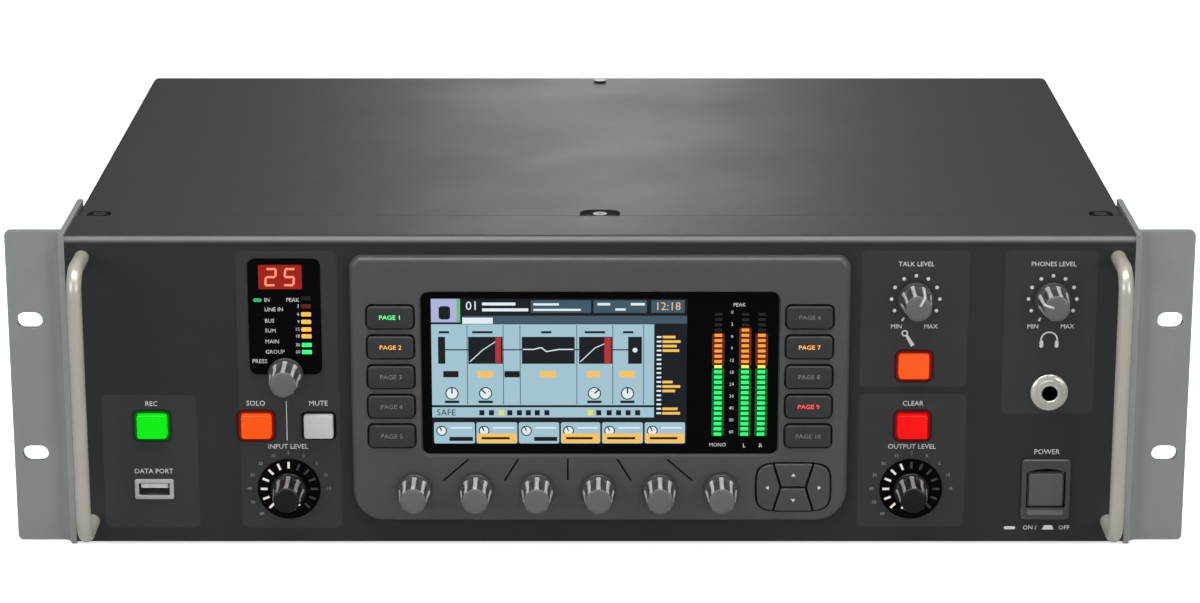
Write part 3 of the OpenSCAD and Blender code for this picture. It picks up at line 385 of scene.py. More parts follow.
def words(text, height, x, z, align="CENTER", wide=1.0):
    """Plain letters of a given capital height, as triangles of X and Z, stretched in X by wide."""
    letters = bpy.data.curves.new("letters", "FONT")
    letters.body = text
    letters.size = height / 0.69
    letters.align_x = align
    letters.align_y = "CENTER"
    letters.resolution_u = 2
    holder = bpy.data.objects.new("letters", letters)
    mesh = bpy.data.meshes.new_from_object(holder)
    points = np.empty(len(mesh.vertices) * 3)
    mesh.vertices.foreach_get("co", points)
    mesh.calc_loop_triangles()
    corners = np.empty(len(mesh.loop_triangles) * 3, np.int32)
    mesh.loop_triangles.foreach_get("vertices", corners)
    bpy.data.objects.remove(holder)
    bpy.data.curves.remove(letters)
    bpy.data.meshes.remove(mesh)
    return points.reshape(-1, 3)[:, :2] * np.array([wide, 1.0]) + np.array([x, z]), [corners.reshape(-1, 3)]


def printed(name, shapes, level, material, body="chassis", side="front", thick=0.05):
    """Flat shapes laid on a surface that faces the front, the back or up, as one thin layer."""
    parts = []
    for points, blocks in shapes:
        flat_level = np.full(len(points), float(level))
        if side == "top":
            laid = np.c_[points[:, 0], points[:, 1], flat_level]
        else:
            laid = np.c_[points[:, 0] * (-1.0 if side == "back" else 1.0), flat_level, points[:, 1]]
        parts.append((laid, blocks))
    piece = build(name, parts, material, body, smooth=False)
    layer = piece.modifiers.new("layer", "SOLIDIFY")
    layer.thickness = thick * mm
    layer.offset = 1.0
    return piece


def spot(node):
    """Middle of a CAD node seen from the front, then its front and back planes, in millimetres."""
    lo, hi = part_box(node)
    return (lo.x + hi.x) / 2 / mm, (lo.z + hi.z) / 2 / mm, lo.y / mm, hi.y / mm


def pierced(outer, holes, front=True):
    """A flat shape with holes, as triangles that are counter-clockwise from the front or from behind."""
    loops = [outer, *holes]
    points = np.concatenate(loops)
    corners = np.array(tessellate_polygon([[Vector((*p, 0.0)) for p in loop] for loop in loops]))
    a, b, c = (points[corners[:, i]] for i in range(3))
    turn = (b - a)[:, 0] * (c - a)[:, 1] - (b - a)[:, 1] * (c - a)[:, 0]
    wrong = turn < 0 if front else turn > 0
    corners[wrong] = corners[wrong, ::-1]
    return points, [corners]


def hole_for(node, outline):
    """An outline about 0 moved to the middle of a CAD node."""
    return outline + np.array(spot(node)[:2])


button_hole = rounded(12.6, 10.6, 1.3)
ring_hole = circle(12.9)
field_paint = finish("field_paint", (0.0305, 0.0315, 0.0318), 0.44, grain=2800.0, depth=0.03, mottle=0.05)
fields = [
    ((-204.0, -165.0, 7.0, 64.5), [("usb_button", button_hole), ("usb_port", rounded(13.8, 6.4, 0.5))]),
    ((-147.5, -106.5, 7.0, 125.5), [
        ("channel_window", rounded(29.0, 48.4, 3.0)), ("solo_button", button_hole),
        ("mute_button", button_hole), ("channel_level_knob", ring_hole)]),
    ((106.0, 149.6, 68.0, 125.7), [("talk_button", button_hole), ("talk_knob", circle(3.7))]),
    ((106.0, 150.0, 7.5, 65.0), [("clear_solo_button", button_hole), ("main_level_knob", ring_hole)]),
    ((164.0, 201.5, 56.5, 125.7), [("headphone_jack", circle(5.0)), ("monitor_knob", circle(3.7))]),
]
field_shapes = []
for field, holes in fields:
    outer, _ = span(*field, 2.4)
    field_shapes.append(pierced(outer, [hole_for(node, outline) for node, outline in holes]))
printed("panel_fields", field_shapes, face - 0.005, field_paint)

# ---- Display bezel ----
# A moulded frame in mid-grey satin plastic, pegged to the panel. Its outer edge is well rounded, the
# window opening is chamfered, and five fine grooves, painted near-black inside as shade, fan out from the
# screen's lower edge.


def ring(outline, y, x=0.0, z=0.0):
    """An outline stood up at one depth."""
    return np.c_[outline[:, 0] + x, np.full(len(outline), float(y)), outline[:, 1] + z]


def loft(rings, first=False, last=False, number=0):
    """Skin through rings, counter-clockwise seen from the front. It faces outwards if they run from back
    to front, and inwards the other way. Either end can be closed."""
    n, count = len(rings[0]), len(rings)
    j = np.arange(n)
    blocks = []
    for i in range(count - 1):
        a, b, k = i * n, (i + 1) * n, (j + 1) % n
        blocks.append(np.stack([a + j, a + k, b + k, b + j], -1))
    if first:
        blocks.append(j[::-1][None])
    if last:
        blocks.append((j + (count - 1) * n)[None])
    return np.concatenate(rings), blocks, number


def plate(outer, holes, y, front=True):
    """A flat face with holes at one depth."""
    points, blocks = pierced(outer, holes, front)
    return ring(points, y), blocks


bezel_lo, bezel_hi = (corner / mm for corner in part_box("display_bezel"))
bezel_y = bezel_lo.y
skin_y = bezel_y + 2.5
bezel_w, bezel_z0, bezel_z1 = bezel_hi.x, bezel_lo.z, bezel_hi.z


def bezel_outline(inset):
    """The bezel's outline drawn in by inset: top corners of radius 5.5, bottom corners of 13."""
    turn = np.linspace(0.0, np.pi / 2, 13)
    corners = []
    top, foot = (bezel_z1 - 5.5, 5.5), (bezel_z0 + 13.0, 13.0)
    for quarter, (sx, (mid_z, r)) in enumerate(((1, top), (-1, top), (-1, foot), (1, foot))):
        angle = turn + quarter * np.pi / 2
        mid_x = sx * (bezel_w - r)
        corners.append(np.c_[mid_x + (r - inset) * np.cos(angle), mid_z + (r - inset) * np.sin(angle)])
    return np.concatenate(corners)


def superellipse(a, b, power, sides=64):
    """x = a cos^(2/p) t, z = b sin^(2/p) t, with the signs of the cosine and sine."""
    t = np.linspace(0.0, 2 * np.pi, sides, endpoint=False)
    c, s = np.cos(t), np.sin(t)
    return np.c_[a * np.sign(c) * np.abs(c) ** (2 / power), b * np.sign(s) * np.abs(s) ** (2 / power)]


window_x, window_z, _, window_back = spot("display_window")
window_w, window_h = 145.2, 69.0
pane_y = bezel_y + 1.4
side_keys = [
    ["home_key", "meters_key", "routing_key", "library_key", "effects_key"],
    ["setup_key", "monitor_key", "scenes_key", "mute_group_key", "utility_key"],
]
key_at = {node: spot(node) for column in side_keys for node in column}
nav_nodes = ["nav_up_key", "nav_down_key", "nav_left_key", "nav_right_key"]
nav_x = (spot("nav_left_key")[0] + spot("nav_right_key")[0]) / 2
nav_z = (spot("nav_up_key")[1] + spot("nav_down_key")[1]) / 2
knob_at = [spot(f"display_knob_{i}") for i in range(1, 7)]
groove_tops = [-53.7, -33.4, -13.2, 7.0, 27.3]
groove_feet = [-64.2, -39.1, -13.2, 12.7, 37.8]

bezel_parts, front_holes, back_holes = [], [], []


def bore(profile, floor=False):
    """A hole in the bezel through outlines given from front to back as (outline, depth)."""
    rings = [ring(outline, y) for outline, y in profile]
    bezel_parts.append(loft(rings, last=floor))
    front_holes.append(profile[0][0])
    if not floor:
        back_holes.append(profile[-1][0])


window_at = np.array([window_x, window_z])
window_hole = rounded(window_w, window_h, 3.0) + window_at
bore([(rounded(window_w + 1.3, window_h + 1.3, 3.6) + window_at, bezel_y), (window_hole, pane_y),
      (window_hole, skin_y)])
for x, z, _, _ in key_at.values():
    at = np.array([x, z])
    bore([(rounded(20.3, 11.0, 2.6) + at, bezel_y), (rounded(19.9, 10.6, 2.4) + at, bezel_y + 0.3),
          (rounded(19.9, 10.6, 2.4) + at, skin_y)])
for x, z, _, _ in knob_at:
    at = np.array([x, z])
    bore([(circle(3.7) + at, bezel_y), (circle(3.7) + at, skin_y)])
nav_at = np.array([nav_x, nav_z])
nav_hole = superellipse(15.6, 10.7, 4.2)
bore([(nav_hole * 1.015 + nav_at, bezel_y), (nav_hole + nav_at, bezel_y + 0.35), (nav_hole + nav_at, skin_y)])
# Each groove's walls and floor take the near-black groove material: painted shade in the grooves
for top, foot in zip(groove_tops, groove_feet):
    line = stroke(foot, 29.0, top, 38.3, 0.8)[0]
    bore([(line, bezel_y), (line, bezel_y + 0.9)], floor=True)
    bezel_parts[-1] = (*bezel_parts[-1][:2], 1)
fillet = [(2.6 * (1 - np.cos(t)), bezel_y + 2.8 * (1 - np.sin(t))) for t in np.linspace(0.0, np.pi / 2, 9)]
sides = [(2.0, skin_y), (2.0, face), (0.0, face)] + fillet
bezel_parts.append(loft([ring(bezel_outline(inset), y) for inset, y in sides]))
bezel_parts.append(plate(bezel_outline(2.6), front_holes, bezel_y))
bezel_parts.append(plate(bezel_outline(2.0), back_holes, skin_y, front=False))
moulded = {"grain": 2400.0, "depth": 0.05, "mottle": 0.04}
bezel_plastic = finish("bezel_plastic", (0.068, 0.070, 0.0735), 0.36, wear_and_highlight=0.3,
                       worn_highlight_colour=(0.16, 0.165, 0.17), **moulded)
groove_shade = finish("groove_shade", (0.012, 0.0125, 0.013), 0.5, specular=0.2)
build("bezel", bezel_parts, [bezel_plastic, groove_shade], stands_for=["display_bezel"])

# ---- Display keys ----
# Ten moulded keys with a wide shallow crown, each in a hole with a dark gap round it. A key's legend
# is printed on its crown and lit from behind; one green, two amber and one red are on.
key_plastic = finish("key_plastic", (0.029, 0.031, 0.033), 0.42, wear_and_highlight=0.5, worn_highlight_colour=(0.2, 0.205, 0.21),
                     **moulded)
legend_off = finish("legend_off", (0.2, 0.205, 0.21), 0.5)
legend_green = finish("legend_green", (0.1, 0.5, 0.15), 0.5, glow=(0.06, 0.75, 0.12), power=1.6)
legend_amber = finish("legend_amber", (0.6, 0.3, 0.08), 0.5, glow=(0.8, 0.28, 0.04), power=1.3)
legend_red = finish("legend_red", (0.6, 0.05, 0.05), 0.5, glow=(0.9, 0.04, 0.05), power=1.4)
lit_legends = {"home_key": legend_green, "meters_key": legend_amber, "monitor_key": legend_amber,
               "mute_group_key": legend_red}


def cap(w, h, r, back, front, edge, x, z, steps=4, shrink=0.0):
    """A key cap with a rounded front edge, from a back plane to a front plane."""
    rings = [ring(rounded(w, h, r), back, x, z)]
    for t in np.linspace(0.0, np.pi / 2, steps + 1):
        inset = edge * (1 - np.cos(t)) + shrink
        rings.append(ring(rounded(w - 2 * inset, h - 2 * inset, max(r - inset, 0.1)),
                          front + edge * (1 - np.sin(t)), x, z))
    return loft(rings, first=True, last=True)


for number, node in enumerate(sum(side_keys, []), 1):
    x, z, front, back = key_at[node]
    crown = cap(18.5, 9.2, 1.7, skin_y + 0.1, front, 0.55, x, z)
    flange = cap(19.7, 10.2, 1.9, skin_y + 1.2, skin_y + 0.1, 0.1, x, z)
    stem = loft([ring(circle(1.5, 24), y, x, z) for y in (back, skin_y + 1.2)], first=True, last=True)
    build(node + "_cap", [crown, flange, stem], key_plastic, node, [node])
    printed(node + "_legend", [words(f"PAGE {number}", 1.75, x, z, wide=1.12)], front,
            lit_legends.get(node, legend_off), node)

# ---- Four-way pad ----
# Four keys of paler plastic in one barrel-shaped hole, parted by slanted black gaps. Each has a
# small white arrow and stands on its own switch.


def clip(outline, normal, limit):
    """The part of a convex outline where p . normal <= limit."""
    kept = []
    reach = outline @ np.asarray(normal, float) - limit
    for i, point in enumerate(outline):
        before = i - 1
        if (reach[before] > 0) != (reach[i] > 0):
            share = reach[before] / (reach[before] - reach[i])
            kept.append(outline[before] + share * (point - outline[before]))
        if reach[i] <= 0:
            kept.append(point)
    return np.array(kept)


def drawn_in(outline, inset):
    """Every point of an outline moved towards its middle by about inset."""
    middle = (outline.max(0) + outline.min(0)) / 2
    half = (outline.max(0) - outline.min(0)) / 2
    return middle + (outline - middle) * (1 - inset / half)


pad_plastic = finish("pad_plastic", (0.058, 0.06, 0.063), 0.36, wear_and_highlight=0.4, worn_highlight_colour=(0.2, 0.205, 0.21),
                     **moulded)
white_ink = finish("white_ink", (0.62, 0.63, 0.63), 0.5)
nav_marks = {"up": (0, 1), "down": (0, -1), "left": (-1, 0), "right": (1, 0)}
arrow = np.array([(0.95, -0.55), (0.0, 0.75), (-0.95, -0.55)])
for node, (side, (dx, dz)) in zip(nav_nodes, nav_marks.items()):
    half_gap, slope = 0.45, 0.307
    outline = superellipse(15.0, 10.1, 4.2, 96)
    if dz:
        outline = clip(outline, (0, -dz), -half_gap)
        for s in (-1, 1):
            outline = clip(outline, (s, -slope * dz), 5.1 - half_gap)
    else:
        for s in (-1, 1):
            outline = clip(outline, (-dx, s * slope), -(5.1 + half_gap))
    _, _, front, back = spot(node)
    x, z = nav_x + dx * 10.65, nav_z + dz * 5.45
    rings = [ring(outline, skin_y + 0.1, nav_x, nav_z)]
    for t in np.linspace(0.0, np.pi / 2, 5):
        inset = 0.5 * (1 - np.cos(t))
        rings.append(ring(drawn_in(outline, inset), front + 0.5 * (1 - np.sin(t)), nav_x, nav_z))
    stem = loft([ring(circle(1.5, 24), y, x, z) for y in (back, skin_y + 0.1)], first=True, last=True)
    build(node + "_cap", [loft(rings, first=True, last=True), stem], pad_plastic, node, [node])
    turn = np.array([[dz, -dx], [dx, dz]], float)
    printed(node + "_arrow", [moved(flat(arrow @ turn), x, z)], front, white_ink, node)

# ---- Display window and screen ----
# A black polished acrylic pane lies in the chamfered opening. Behind it a colour screen shows a
# channel's settings: panels, graphs, small dials and a list, on pale cyan.
black_gloss = finish("black_gloss", (0.001, 0.001, 0.0013), 0.08, grain=900.0, depth=0.0, mottle=0.0,
                     smudge=0.05, specular=0.13)
pane = loft([ring(rounded(window_w - 0.1, window_h - 0.1, 2.95), y, window_x, window_z)
             for y in (window_back, pane_y)], first=True, last=True)
build("display_pane", [pane], black_gloss, stands_for=["display_window"])


def lamp(name, colour, power=1.0):
    """Something lit: a dark surface that gives off a colour."""
    dark = (0.004, 0.004, 0.004)
    return finish(name, dark, 0.3, depth=0.0, mottle=0.0, glow=colour, power=power, specular=0.2)


screen_x, screen_z, screen_w, screen_h = -68.5, 44.3, 103.8, 61.9


def on_screen(u, v):
    """A place on the screen, whose width and height both run from 0 to 1."""
    return screen_x + u * screen_w, screen_z + v * screen_h


def area(u0, u1, v0, v1, r=0.0):
    """A tile on the screen."""
    (x0, z0), (x1, z1) = on_screen(u0, v0), on_screen(u1, v1)
    return span(x0, x1, z0, z1, r)


def screen_line(points, w):
    """Straight strokes through a row of places on the screen."""
    places = [on_screen(*p) for p in points]
    return [stroke(*a, *b, w) for a, b in zip(places, places[1:])]


def note(text, height, u, v):
    """Plain letters at a place on the screen."""
    return words(text, height, *on_screen(u, v))


cyan = lamp("ui_cyan", (0.36, 0.55, 0.63))
ink = lamp("ui_ink", (0.008, 0.01, 0.014))
orange = lamp("ui_orange", (0.93, 0.54, 0.12))
slate = lamp("ui_slate", (0.05, 0.095, 0.135))
pale = lamp("ui_pale", (0.75, 0.85, 0.92))
rose = lamp("ui_red", (0.45, 0.03, 0.04))
straw = lamp("ui_yellow", (0.85, 0.72, 0.12))
lilac = lamp("ui_lilac", (0.42, 0.45, 0.72))
leaf = lamp("ui_green", (0.16, 0.5, 0.22))
graphs = [(0.026, 0.054), (0.144, 0.279), (0.354, 0.561), (0.578, 0.708), (0.77, 0.824)]
splits = [0.14, 0.281, 0.347, 0.569, 0.71, 0.831]
band_boxes = [0.195, 0.233, 0.305, 0.343, 0.378, 0.413, 0.451, 0.655, 0.696, 0.733, 0.7705, 0.808]
tiles = [(0.006, 0.167), (0.173, 0.334), (0.34, 0.499), (0.506, 0.661), (0.668, 0.829), (0.836, 0.995)]
small_dials = [(0.0785, 0.352, 2.7), (0.2106, 0.352, 2.7), (0.638, 0.352, 2.7), (0.768, 0.352, 2.7)]
tile_dials = [(u0 + 0.03, 0.093, 2.2) for u0, _ in tiles]
list_rows = np.linspace(0.74, 0.215, 18)
list_bars = {0: 0.05, 1: 0.07, 2: 0.055, 3: 0.065, 10: 0.04, 11: 0.07, 12: 0.05, 16: 0.06, 17: 0.07}
titles = [(0.16, 0.24), (0.03, 0.07), (0.43, 0.47), (0.6, 0.68), (0.75, 0.79)]
switched_on = [(0.18, 0.241), (0.424, 0.488), (0.607, 0.66), (0.736, 0.796)]
wires = [(0.054, 0.144), (0.279, 0.354), (0.561, 0.578), (0.708, 0.77)]
hands = [(0.0785, 0.0785, 0.39), (0.2106, 0.195, 0.38), (0.638, 0.655, 0.378), (0.768, 0.768, 0.39)]
curve = [(0.358, 0.655), (0.4, 0.655), (0.43, 0.668), (0.45, 0.64), (0.5, 0.655), (0.557, 0.655)]
ui_layers = [
    (ink, [area(0, 1, 0, 1)]),
    (cyan, [area(0, 0.872, 0.27, 0.826), area(0, 0.872, 0.185, 0.255)]
     + [area(u0, u1, 0.004, 0.151, 0.8) for u0, u1 in tiles]),
    (slate, [area(0.122, 1, 0.83, 0.884), area(0.39, 0.625, 0.905, 0.99), area(0.635, 0.843, 0.905, 0.99),
             area(0.86, 0.99, 0.905, 0.99)]),
    (lilac, [area(0, 0.114, 0.84, 1)]),
    (leaf, [area(0.1, 0.114, 0.84, 1)]),
    (pale, [area(0.122, 0.241, 0.83, 0.872), area(0.2, 0.38, 0.915, 0.935), area(0.2, 0.33, 0.955, 0.975),
            area(0.4, 0.5, 0.955, 0.97), area(0.4, 0.585, 0.918, 0.932), area(0.65, 0.7, 0.955, 0.972),
            area(0.72, 0.76, 0.92, 0.935), area(0.78, 0.835, 0.955, 0.972), note("01", 3.6, 0.16, 0.95)]),
    (ink, [area(u - 0.0012, u + 0.0012, 0.275, 0.822) for u in splits]
     + [area(u0, u1, 0.556, 0.741) for u0, u1 in graphs]
     + [area(0.03, 0.075, 0.86, 0.95, 1.2)]
     + [area(u0, u0 + 0.06, 0.463, 0.506) for u0 in (0.045, 0.285)]
     + [area(u - 0.01, u + 0.01, 0.2, 0.236) for u in band_boxes] + [note("SAFE", 2.6, 0.055, 0.218)]
     + [area(u0 + 0.06, u1 - 0.008, 0.022, 0.05) for u0, u1 in tiles[0::2]]
     + [area(u - 0.028, u + 0.028, 0.285, 0.302) for u, _, _ in small_dials]
     + [area(u0, u1, 0.765, 0.78) for u0, u1 in titles]
     + [area(0.885, 0.975, 0.783, 0.799), area(0.876, 0.982, 0.195, 0.757)]
     + sum([screen_line([(u0, 0.6525), (u1, 0.6525)], 0.5) for u0, u1 in wires], [])
     + [dot(*on_screen(u, v), r, 24) for u, v, r in small_dials + tile_dials]),
    (pale, [dot(*on_screen(u, v), r - 0.45, 24) for u, v, r in small_dials + tile_dials]
     + [area(u0 + 0.065, u1 - 0.012, 0.108, 0.118) for u0, u1 in tiles]
     + [area(0.882, 0.9, v - 0.006, v + 0.006) for v in list_rows]
     + screen_line(curve, 0.45)
     + screen_line([(0.15, 0.57), (0.2, 0.65), (0.272, 0.732)], 0.35)
     + screen_line([(0.583, 0.57), (0.64, 0.665), (0.7, 0.71)], 0.35) + [dot(*on_screen(0.797, 0.65), 1.0)]),
    (rose, [area(0.25, 0.272, 0.56, 0.737), area(0.677, 0.703, 0.56, 0.737)]),
    (straw, [area(0.262, 0.282, 0.2, 0.236), area(0.612, 0.632, 0.2, 0.236)]),
    (orange, [area(u0, u1, 0.463, 0.506, 0.5) for u0, u1 in switched_on]
     + [area(u0 + 0.003, u1 - 0.003, 0.008, 0.075, 0.5) for u0, u1 in (tiles[1], *tiles[3:])]
     + [area(0.905, 0.905 + length, list_rows[row] - 0.009, list_rows[row] + 0.009)
        for row, length in list_bars.items()]),
    (ink, sum([screen_line([(u0, 0.352), (u1, v1)], 0.6) for u0, u1, v1 in hands], [])
     + [area(u0 + 0.02, u1 - 0.03, 0.034, 0.05) for u0, u1 in (tiles[1], *tiles[3:])]
     + sum([screen_line([(u, v), (u - 0.008, v + 0.03)], 0.5) for u, v, _ in tile_dials], [])),
    (lamp("ui_clock", (0.8, 0.5, 0.3)), [note("12:18", 3.3, 0.925, 0.948)]),
]
layer_step = 0.03
for number, (material, shapes) in enumerate(ui_layers):
    level = pane_y - 0.01 - layer_step * number
    printed(f"screen_layer_{number + 1:02d}", shapes, level, material, thick=0.02)

# ---- Level meters ----
# Three columns of 24 light bars behind the same pane, green below, yellow and then orange above,
# with a soft glow round the lit ones. A dotted scale with small figures runs beside them.
meter_x = [48.06, 59.02, 65.70]
meter_lit = [20, 21, 20]
bars = {"green": [], "yellow": [], "amber": [], "off": []}
for x, count in zip(meter_x, meter_lit):
    for i in range(24):
        shade = "off" if i >= count else "green" if i < 13 else "yellow" if i < 14 else "amber"
        bars[shade].append(tile(x, 48.6 + 2.22 * i, 3.0, 1.15))
bar_glow = {
    "green": ((0.03, 1.0, 0.16), 1.7),
    "yellow": ((0.75, 0.9, 0.1), 1.4),
    "amber": ((1.0, 0.24, 0.035), 1.6),
    "off": ((0.016, 0.014, 0.013), 1.0),
}
for shade, shapes in bars.items():
    lit = lamp(f"bar_{shade}", *bar_glow[shade])
    printed(f"meter_bars_{shade}", shapes, pane_y - 0.06, lit)
halo = {"green": [], "amber": []}
for x, count in zip(meter_x, meter_lit):
    halo["green"].append(span(x - 2.5, x + 2.5, 47.6, 77.0, 1.0))
    halo["amber"].append(span(x - 2.5, x + 2.5, 77.6, 47.4 + 2.22 * count, 1.0))
for shade, glow in (("green", (0.002, 0.12, 0.02)), ("amber", (0.12, 0.022, 0.003))):
    printed(f"meter_halo_{shade}", halo[shade], pane_y - 0.01, lamp(f"halo_{shade}", glow))
scale_marks = (60, 50, 40, 30, 24, 18, 12, 9, 6, 3, 0)
figures = [words(str(v), 1.3, 53.6, 49.5 + 5.1 * i) for i, v in enumerate(scale_marks)]
figures += [words("L", 1.7, 59.0, 43.6), words("R", 1.7, 65.7, 43.6), words("MONO", 1.5, 48.1, 43.9),
            words("PEAK", 1.5, 56.5, 103.6)]
printed("meter_figures", figures, pane_y - 0.01, white_ink)

# ---- Encoder and level knobs ----
# Moulded knobs with eight flutes that run out towards a smooth, slightly domed face, on steel
# shafts. Those of the talk and monitor levels carry a white pointer line up the side and on the face.
flutes = 8
knob_profile = [
    # radius, depth behind the front plane, depth of the flutes
    (6.9, 14.5, 0.0), (7.25, 14.2, 0.0), (7.25, 12.6, 0.0), (7.05, 12.35, 0.0), (6.45, 12.2, 0.25),
    (6.4, 11.6, 1.05), (6.25, 9.5, 1.3), (6.02, 6.5, 1.3), (5.8, 3.8, 0.85), (5.65, 2.2, 0.4),
    (5.5, 1.3, 0.12), (5.3, 0.75, 0.0), (4.95, 0.38, 0.0), (4.3, 0.18, 0.0), (3.0, 0.08, 0.0),
    (1.2, 0.0, 0.0),
]


def knob_radius(r, flute, angle, turned):
    """r less a flute whose depth follows 0.5 - 0.5 cos(8 (angle - turned)), so a ridge is at turned."""
    return r - flute * (0.5 - 0.5 * np.cos(flutes * (angle - turned))) ** 0.8


def knob(node, materials, turned=90.0, pointer=False):
    """A knob's body, its shaft and its pointer line, with one ridge at an angle in degrees."""
    x, z, front, back = spot(node)
    a = np.radians(turned)
    angle = np.linspace(0.0, 2 * np.pi, 120, endpoint=False)
    rings = []
    for r, depth, flute in knob_profile:
        reach = knob_radius(r, flute, angle, a)
        rings.append(ring(np.c_[reach * np.cos(angle), reach * np.sin(angle)], front + depth, x, z))
    points, blocks, _ = loft(rings, first=True, last=True)
    # Faces on the ridges get material 1, a much paler plastic: a painted highlight where the overhead light
    # catches the ridges
    on_ridge = np.cos(flutes * (angle + np.pi / 120 - a)) > 0.45
    body_parts = []
    for level, block in enumerate(blocks):
        if 4 <= level < 11:
            body_parts += [(points, [block[on_ridge]], 1), (points, [block[~on_ridge]], 0)]
        else:
            body_parts.append((points, [block], 2 if level >= 11 else 0))
    ends = [ring(circle(2.98, 32), y, x, z) for y in (back, front + 14.5)]
    shaft = loft(ends, first=True, last=True, number=3)
    build(node + "_body", body_parts + [shaft], materials, node, [node])
    if not pointer:
        return
    path = [(r + 0.04, front + depth - 0.03) for r, depth, _ in knob_profile[5:]]
    across = np.array([-np.sin(a), 0.0, np.cos(a)]) * 0.45
    line = [np.array([x + r * np.cos(a), y, z + r * np.sin(a)]) for r, y in path]
    points = np.array([p - across for p in line] + [p + across for p in line])
    i = np.arange(len(line) - 1)
    strip = build(node + "_pointer", [(points, [np.stack([i, i + 1, i + 1 + len(line), i + len(line)], -1)])],
                  white_ink, node)
    layer = strip.modifiers.new("layer", "SOLIDIFY")
    layer.thickness = 0.08 * mm
    layer.offset = 0.0


shaft_steel = finish("shaft_steel", (0.55, 0.55, 0.54), 0.3, metal=1.0, grain=500.0)
knob_plastic = finish("knob_plastic", (0.045, 0.048, 0.05), 0.33, grain=2400.0, depth=0.04, mottle=0.05)
# The ridge materials are paler copies of the knob plastics: painted highlight on the ridges
knob_ridge_highlight = finish("knob_ridge_highlight", (0.47, 0.48, 0.485), 0.28, grain=2400.0, depth=0.03, mottle=0.05)
knob_face = finish("knob_face", (0.115, 0.121, 0.125), 0.36, grain=2400.0, depth=0.04, mottle=0.05)
dark_knob = finish("dark_knob", (0.008, 0.006, 0.006), 0.3, grain=2400.0, depth=0.04, mottle=0.05)
dark_ridge_highlight = finish("dark_ridge_highlight", (0.3, 0.27, 0.26), 0.28, grain=2400.0, depth=0.03, mottle=0.05)
grey_knob = [knob_plastic, knob_ridge_highlight, knob_face, shaft_steel]
for i in range(1, 7):
    knob(f"display_knob_{i}", grey_knob)
knob("select_knob", grey_knob)
knob("talk_knob", grey_knob, 62.0, pointer=True)
knob("monitor_knob", grey_knob, 162.0, pointer=True)
for node in ("channel_level_knob", "main_level_knob"):
    knob(node, [dark_knob, dark_ridge_highlight, dark_knob, shaft_steel])

# ---- Light rings and panel lettering ----
# Dark translucent rings round the two level knobs, each with a row of lit ticks. All lettering on
# the panel is silk-screened in pale grey: plain words and figures only.
dress("level_rings", black_gloss)
ring_y = spot("level_rings")[2]
tick_lit = lamp("tick_lit", (0.8, 0.72, 0.66))
tick_off = finish("tick_off", (0.05, 0.045, 0.05), 0.4)
lettering = []
dial_faint = []
level_dials = [("channel_level_knob", 90.0, "INPUT LEVEL"), ("main_level_knob", 112.5, "OUTPUT LEVEL")]
for node, lit_to, label in level_dials:
    x, z, _, _ = spot(node)
    lit, unlit = [], []
    for i in range(13):
        a = 225.0 - 22.5 * i
        c, s = np.cos(np.radians(a)), np.sin(np.radians(a))
        shape = stroke(*polar(x, z, 8.9, a), *polar(x, z, 11.7, a), 0.95)
        (lit if a >= lit_to else unlit).append(shape)
        if i not in (11, 12):
            mark = ("60", "50", "40", "30", "20", "10", "5", "0", "5", "10", "15")[i]
            dial_faint.append(words(mark, 1.3, x + 16.3 * c, z + 15.4 * s))
    for a, r in ((247.5, 8.9), (270.0, 8.9), (300.0, 8.0)):
        lit.append(dot(*polar(x, z, r, a), 0.5))
    printed(node.replace("knob", "ticks_lit"), lit, ring_y - 0.01, tick_lit)
    printed(node.replace("knob", "ticks_off"), unlit, ring_y - 0.01, tick_off)
    lettering.append(words(label, 2.0, x, 42.3))
for node, label in (("talk_knob", "TALK LEVEL"), ("monitor_knob", "PHONES LEVEL")):
    x, z, _, _ = spot(node)
    lettering += [dot(*polar(x, z, 9.8, a), 0.75) for a in range(-30, 240, 30)]
    lettering.append(stroke(*polar(x, z, 9.2, 240.0), *polar(x, z, 10.7, 240.0), 0.8))
    lettering.append(words(label, 1.9, x, 120.0))
    lettering += [words("MIN", 1.8, x - 7.6, 93.7), words("MAX", 1.8, x + 6.4, 93.7)]
mic_x, phones_x, phones_z = spot("talk_knob")[0] - 2.4, spot("monitor_knob")[0] - 0.8, 88.0
lettering.append(arc(mic_x - 1.7, 90.9, 0.8, 1.35, 0.0, 360.0))
lettering.append(stroke(mic_x - 0.9, 89.9, mic_x + 1.7, 85.6, 1.1, 1.7))
lettering.append(arc(phones_x, phones_z, 3.0, 3.6, -8.0, 188.0))
lettering += [tile(phones_x + side, phones_z - 1.7, 1.5, 3.0, 0.6) for side in (-3.1, 3.1)]
port_x, power_x, power_z = spot("usb_port")[0], spot("power_switch")[0], spot("power_switch")[1]
lettering += [words("REC", 2.0, port_x, 60.7), words("DATA PORT", 2.0, port_x, 31.6),
              words("SOLO", 2.1, -140.8, 60.9), words("MUTE", 2.1, -115.2, 60.9),
              words("CLEAR", 2.0, 128.0, 60.9),
              span(-128.45, -128.15, 45.0, 62.0), words("POWER", 2.1, power_x, 40.0),
              tile(power_x - 14.3, 7.0, 4.6, 1.3, 0.6), words("ON /", 1.8, power_x - 6.0, 7.0),
              moved(flat([(2.4, -0.9), (1.6, 1.0), (-1.6, 1.0), (-2.4, -0.9)]), power_x + 1.5, 7.1),
              words("OFF", 1.8, power_x + 8.2, 7.0)]
printed("panel_lettering", lettering, face - 0.08, white_ink)
faint_ink = finish("faint_ink", (0.3, 0.3, 0.305), 0.5)
printed("dial_figures", dial_faint, face - 0.08, faint_ink)

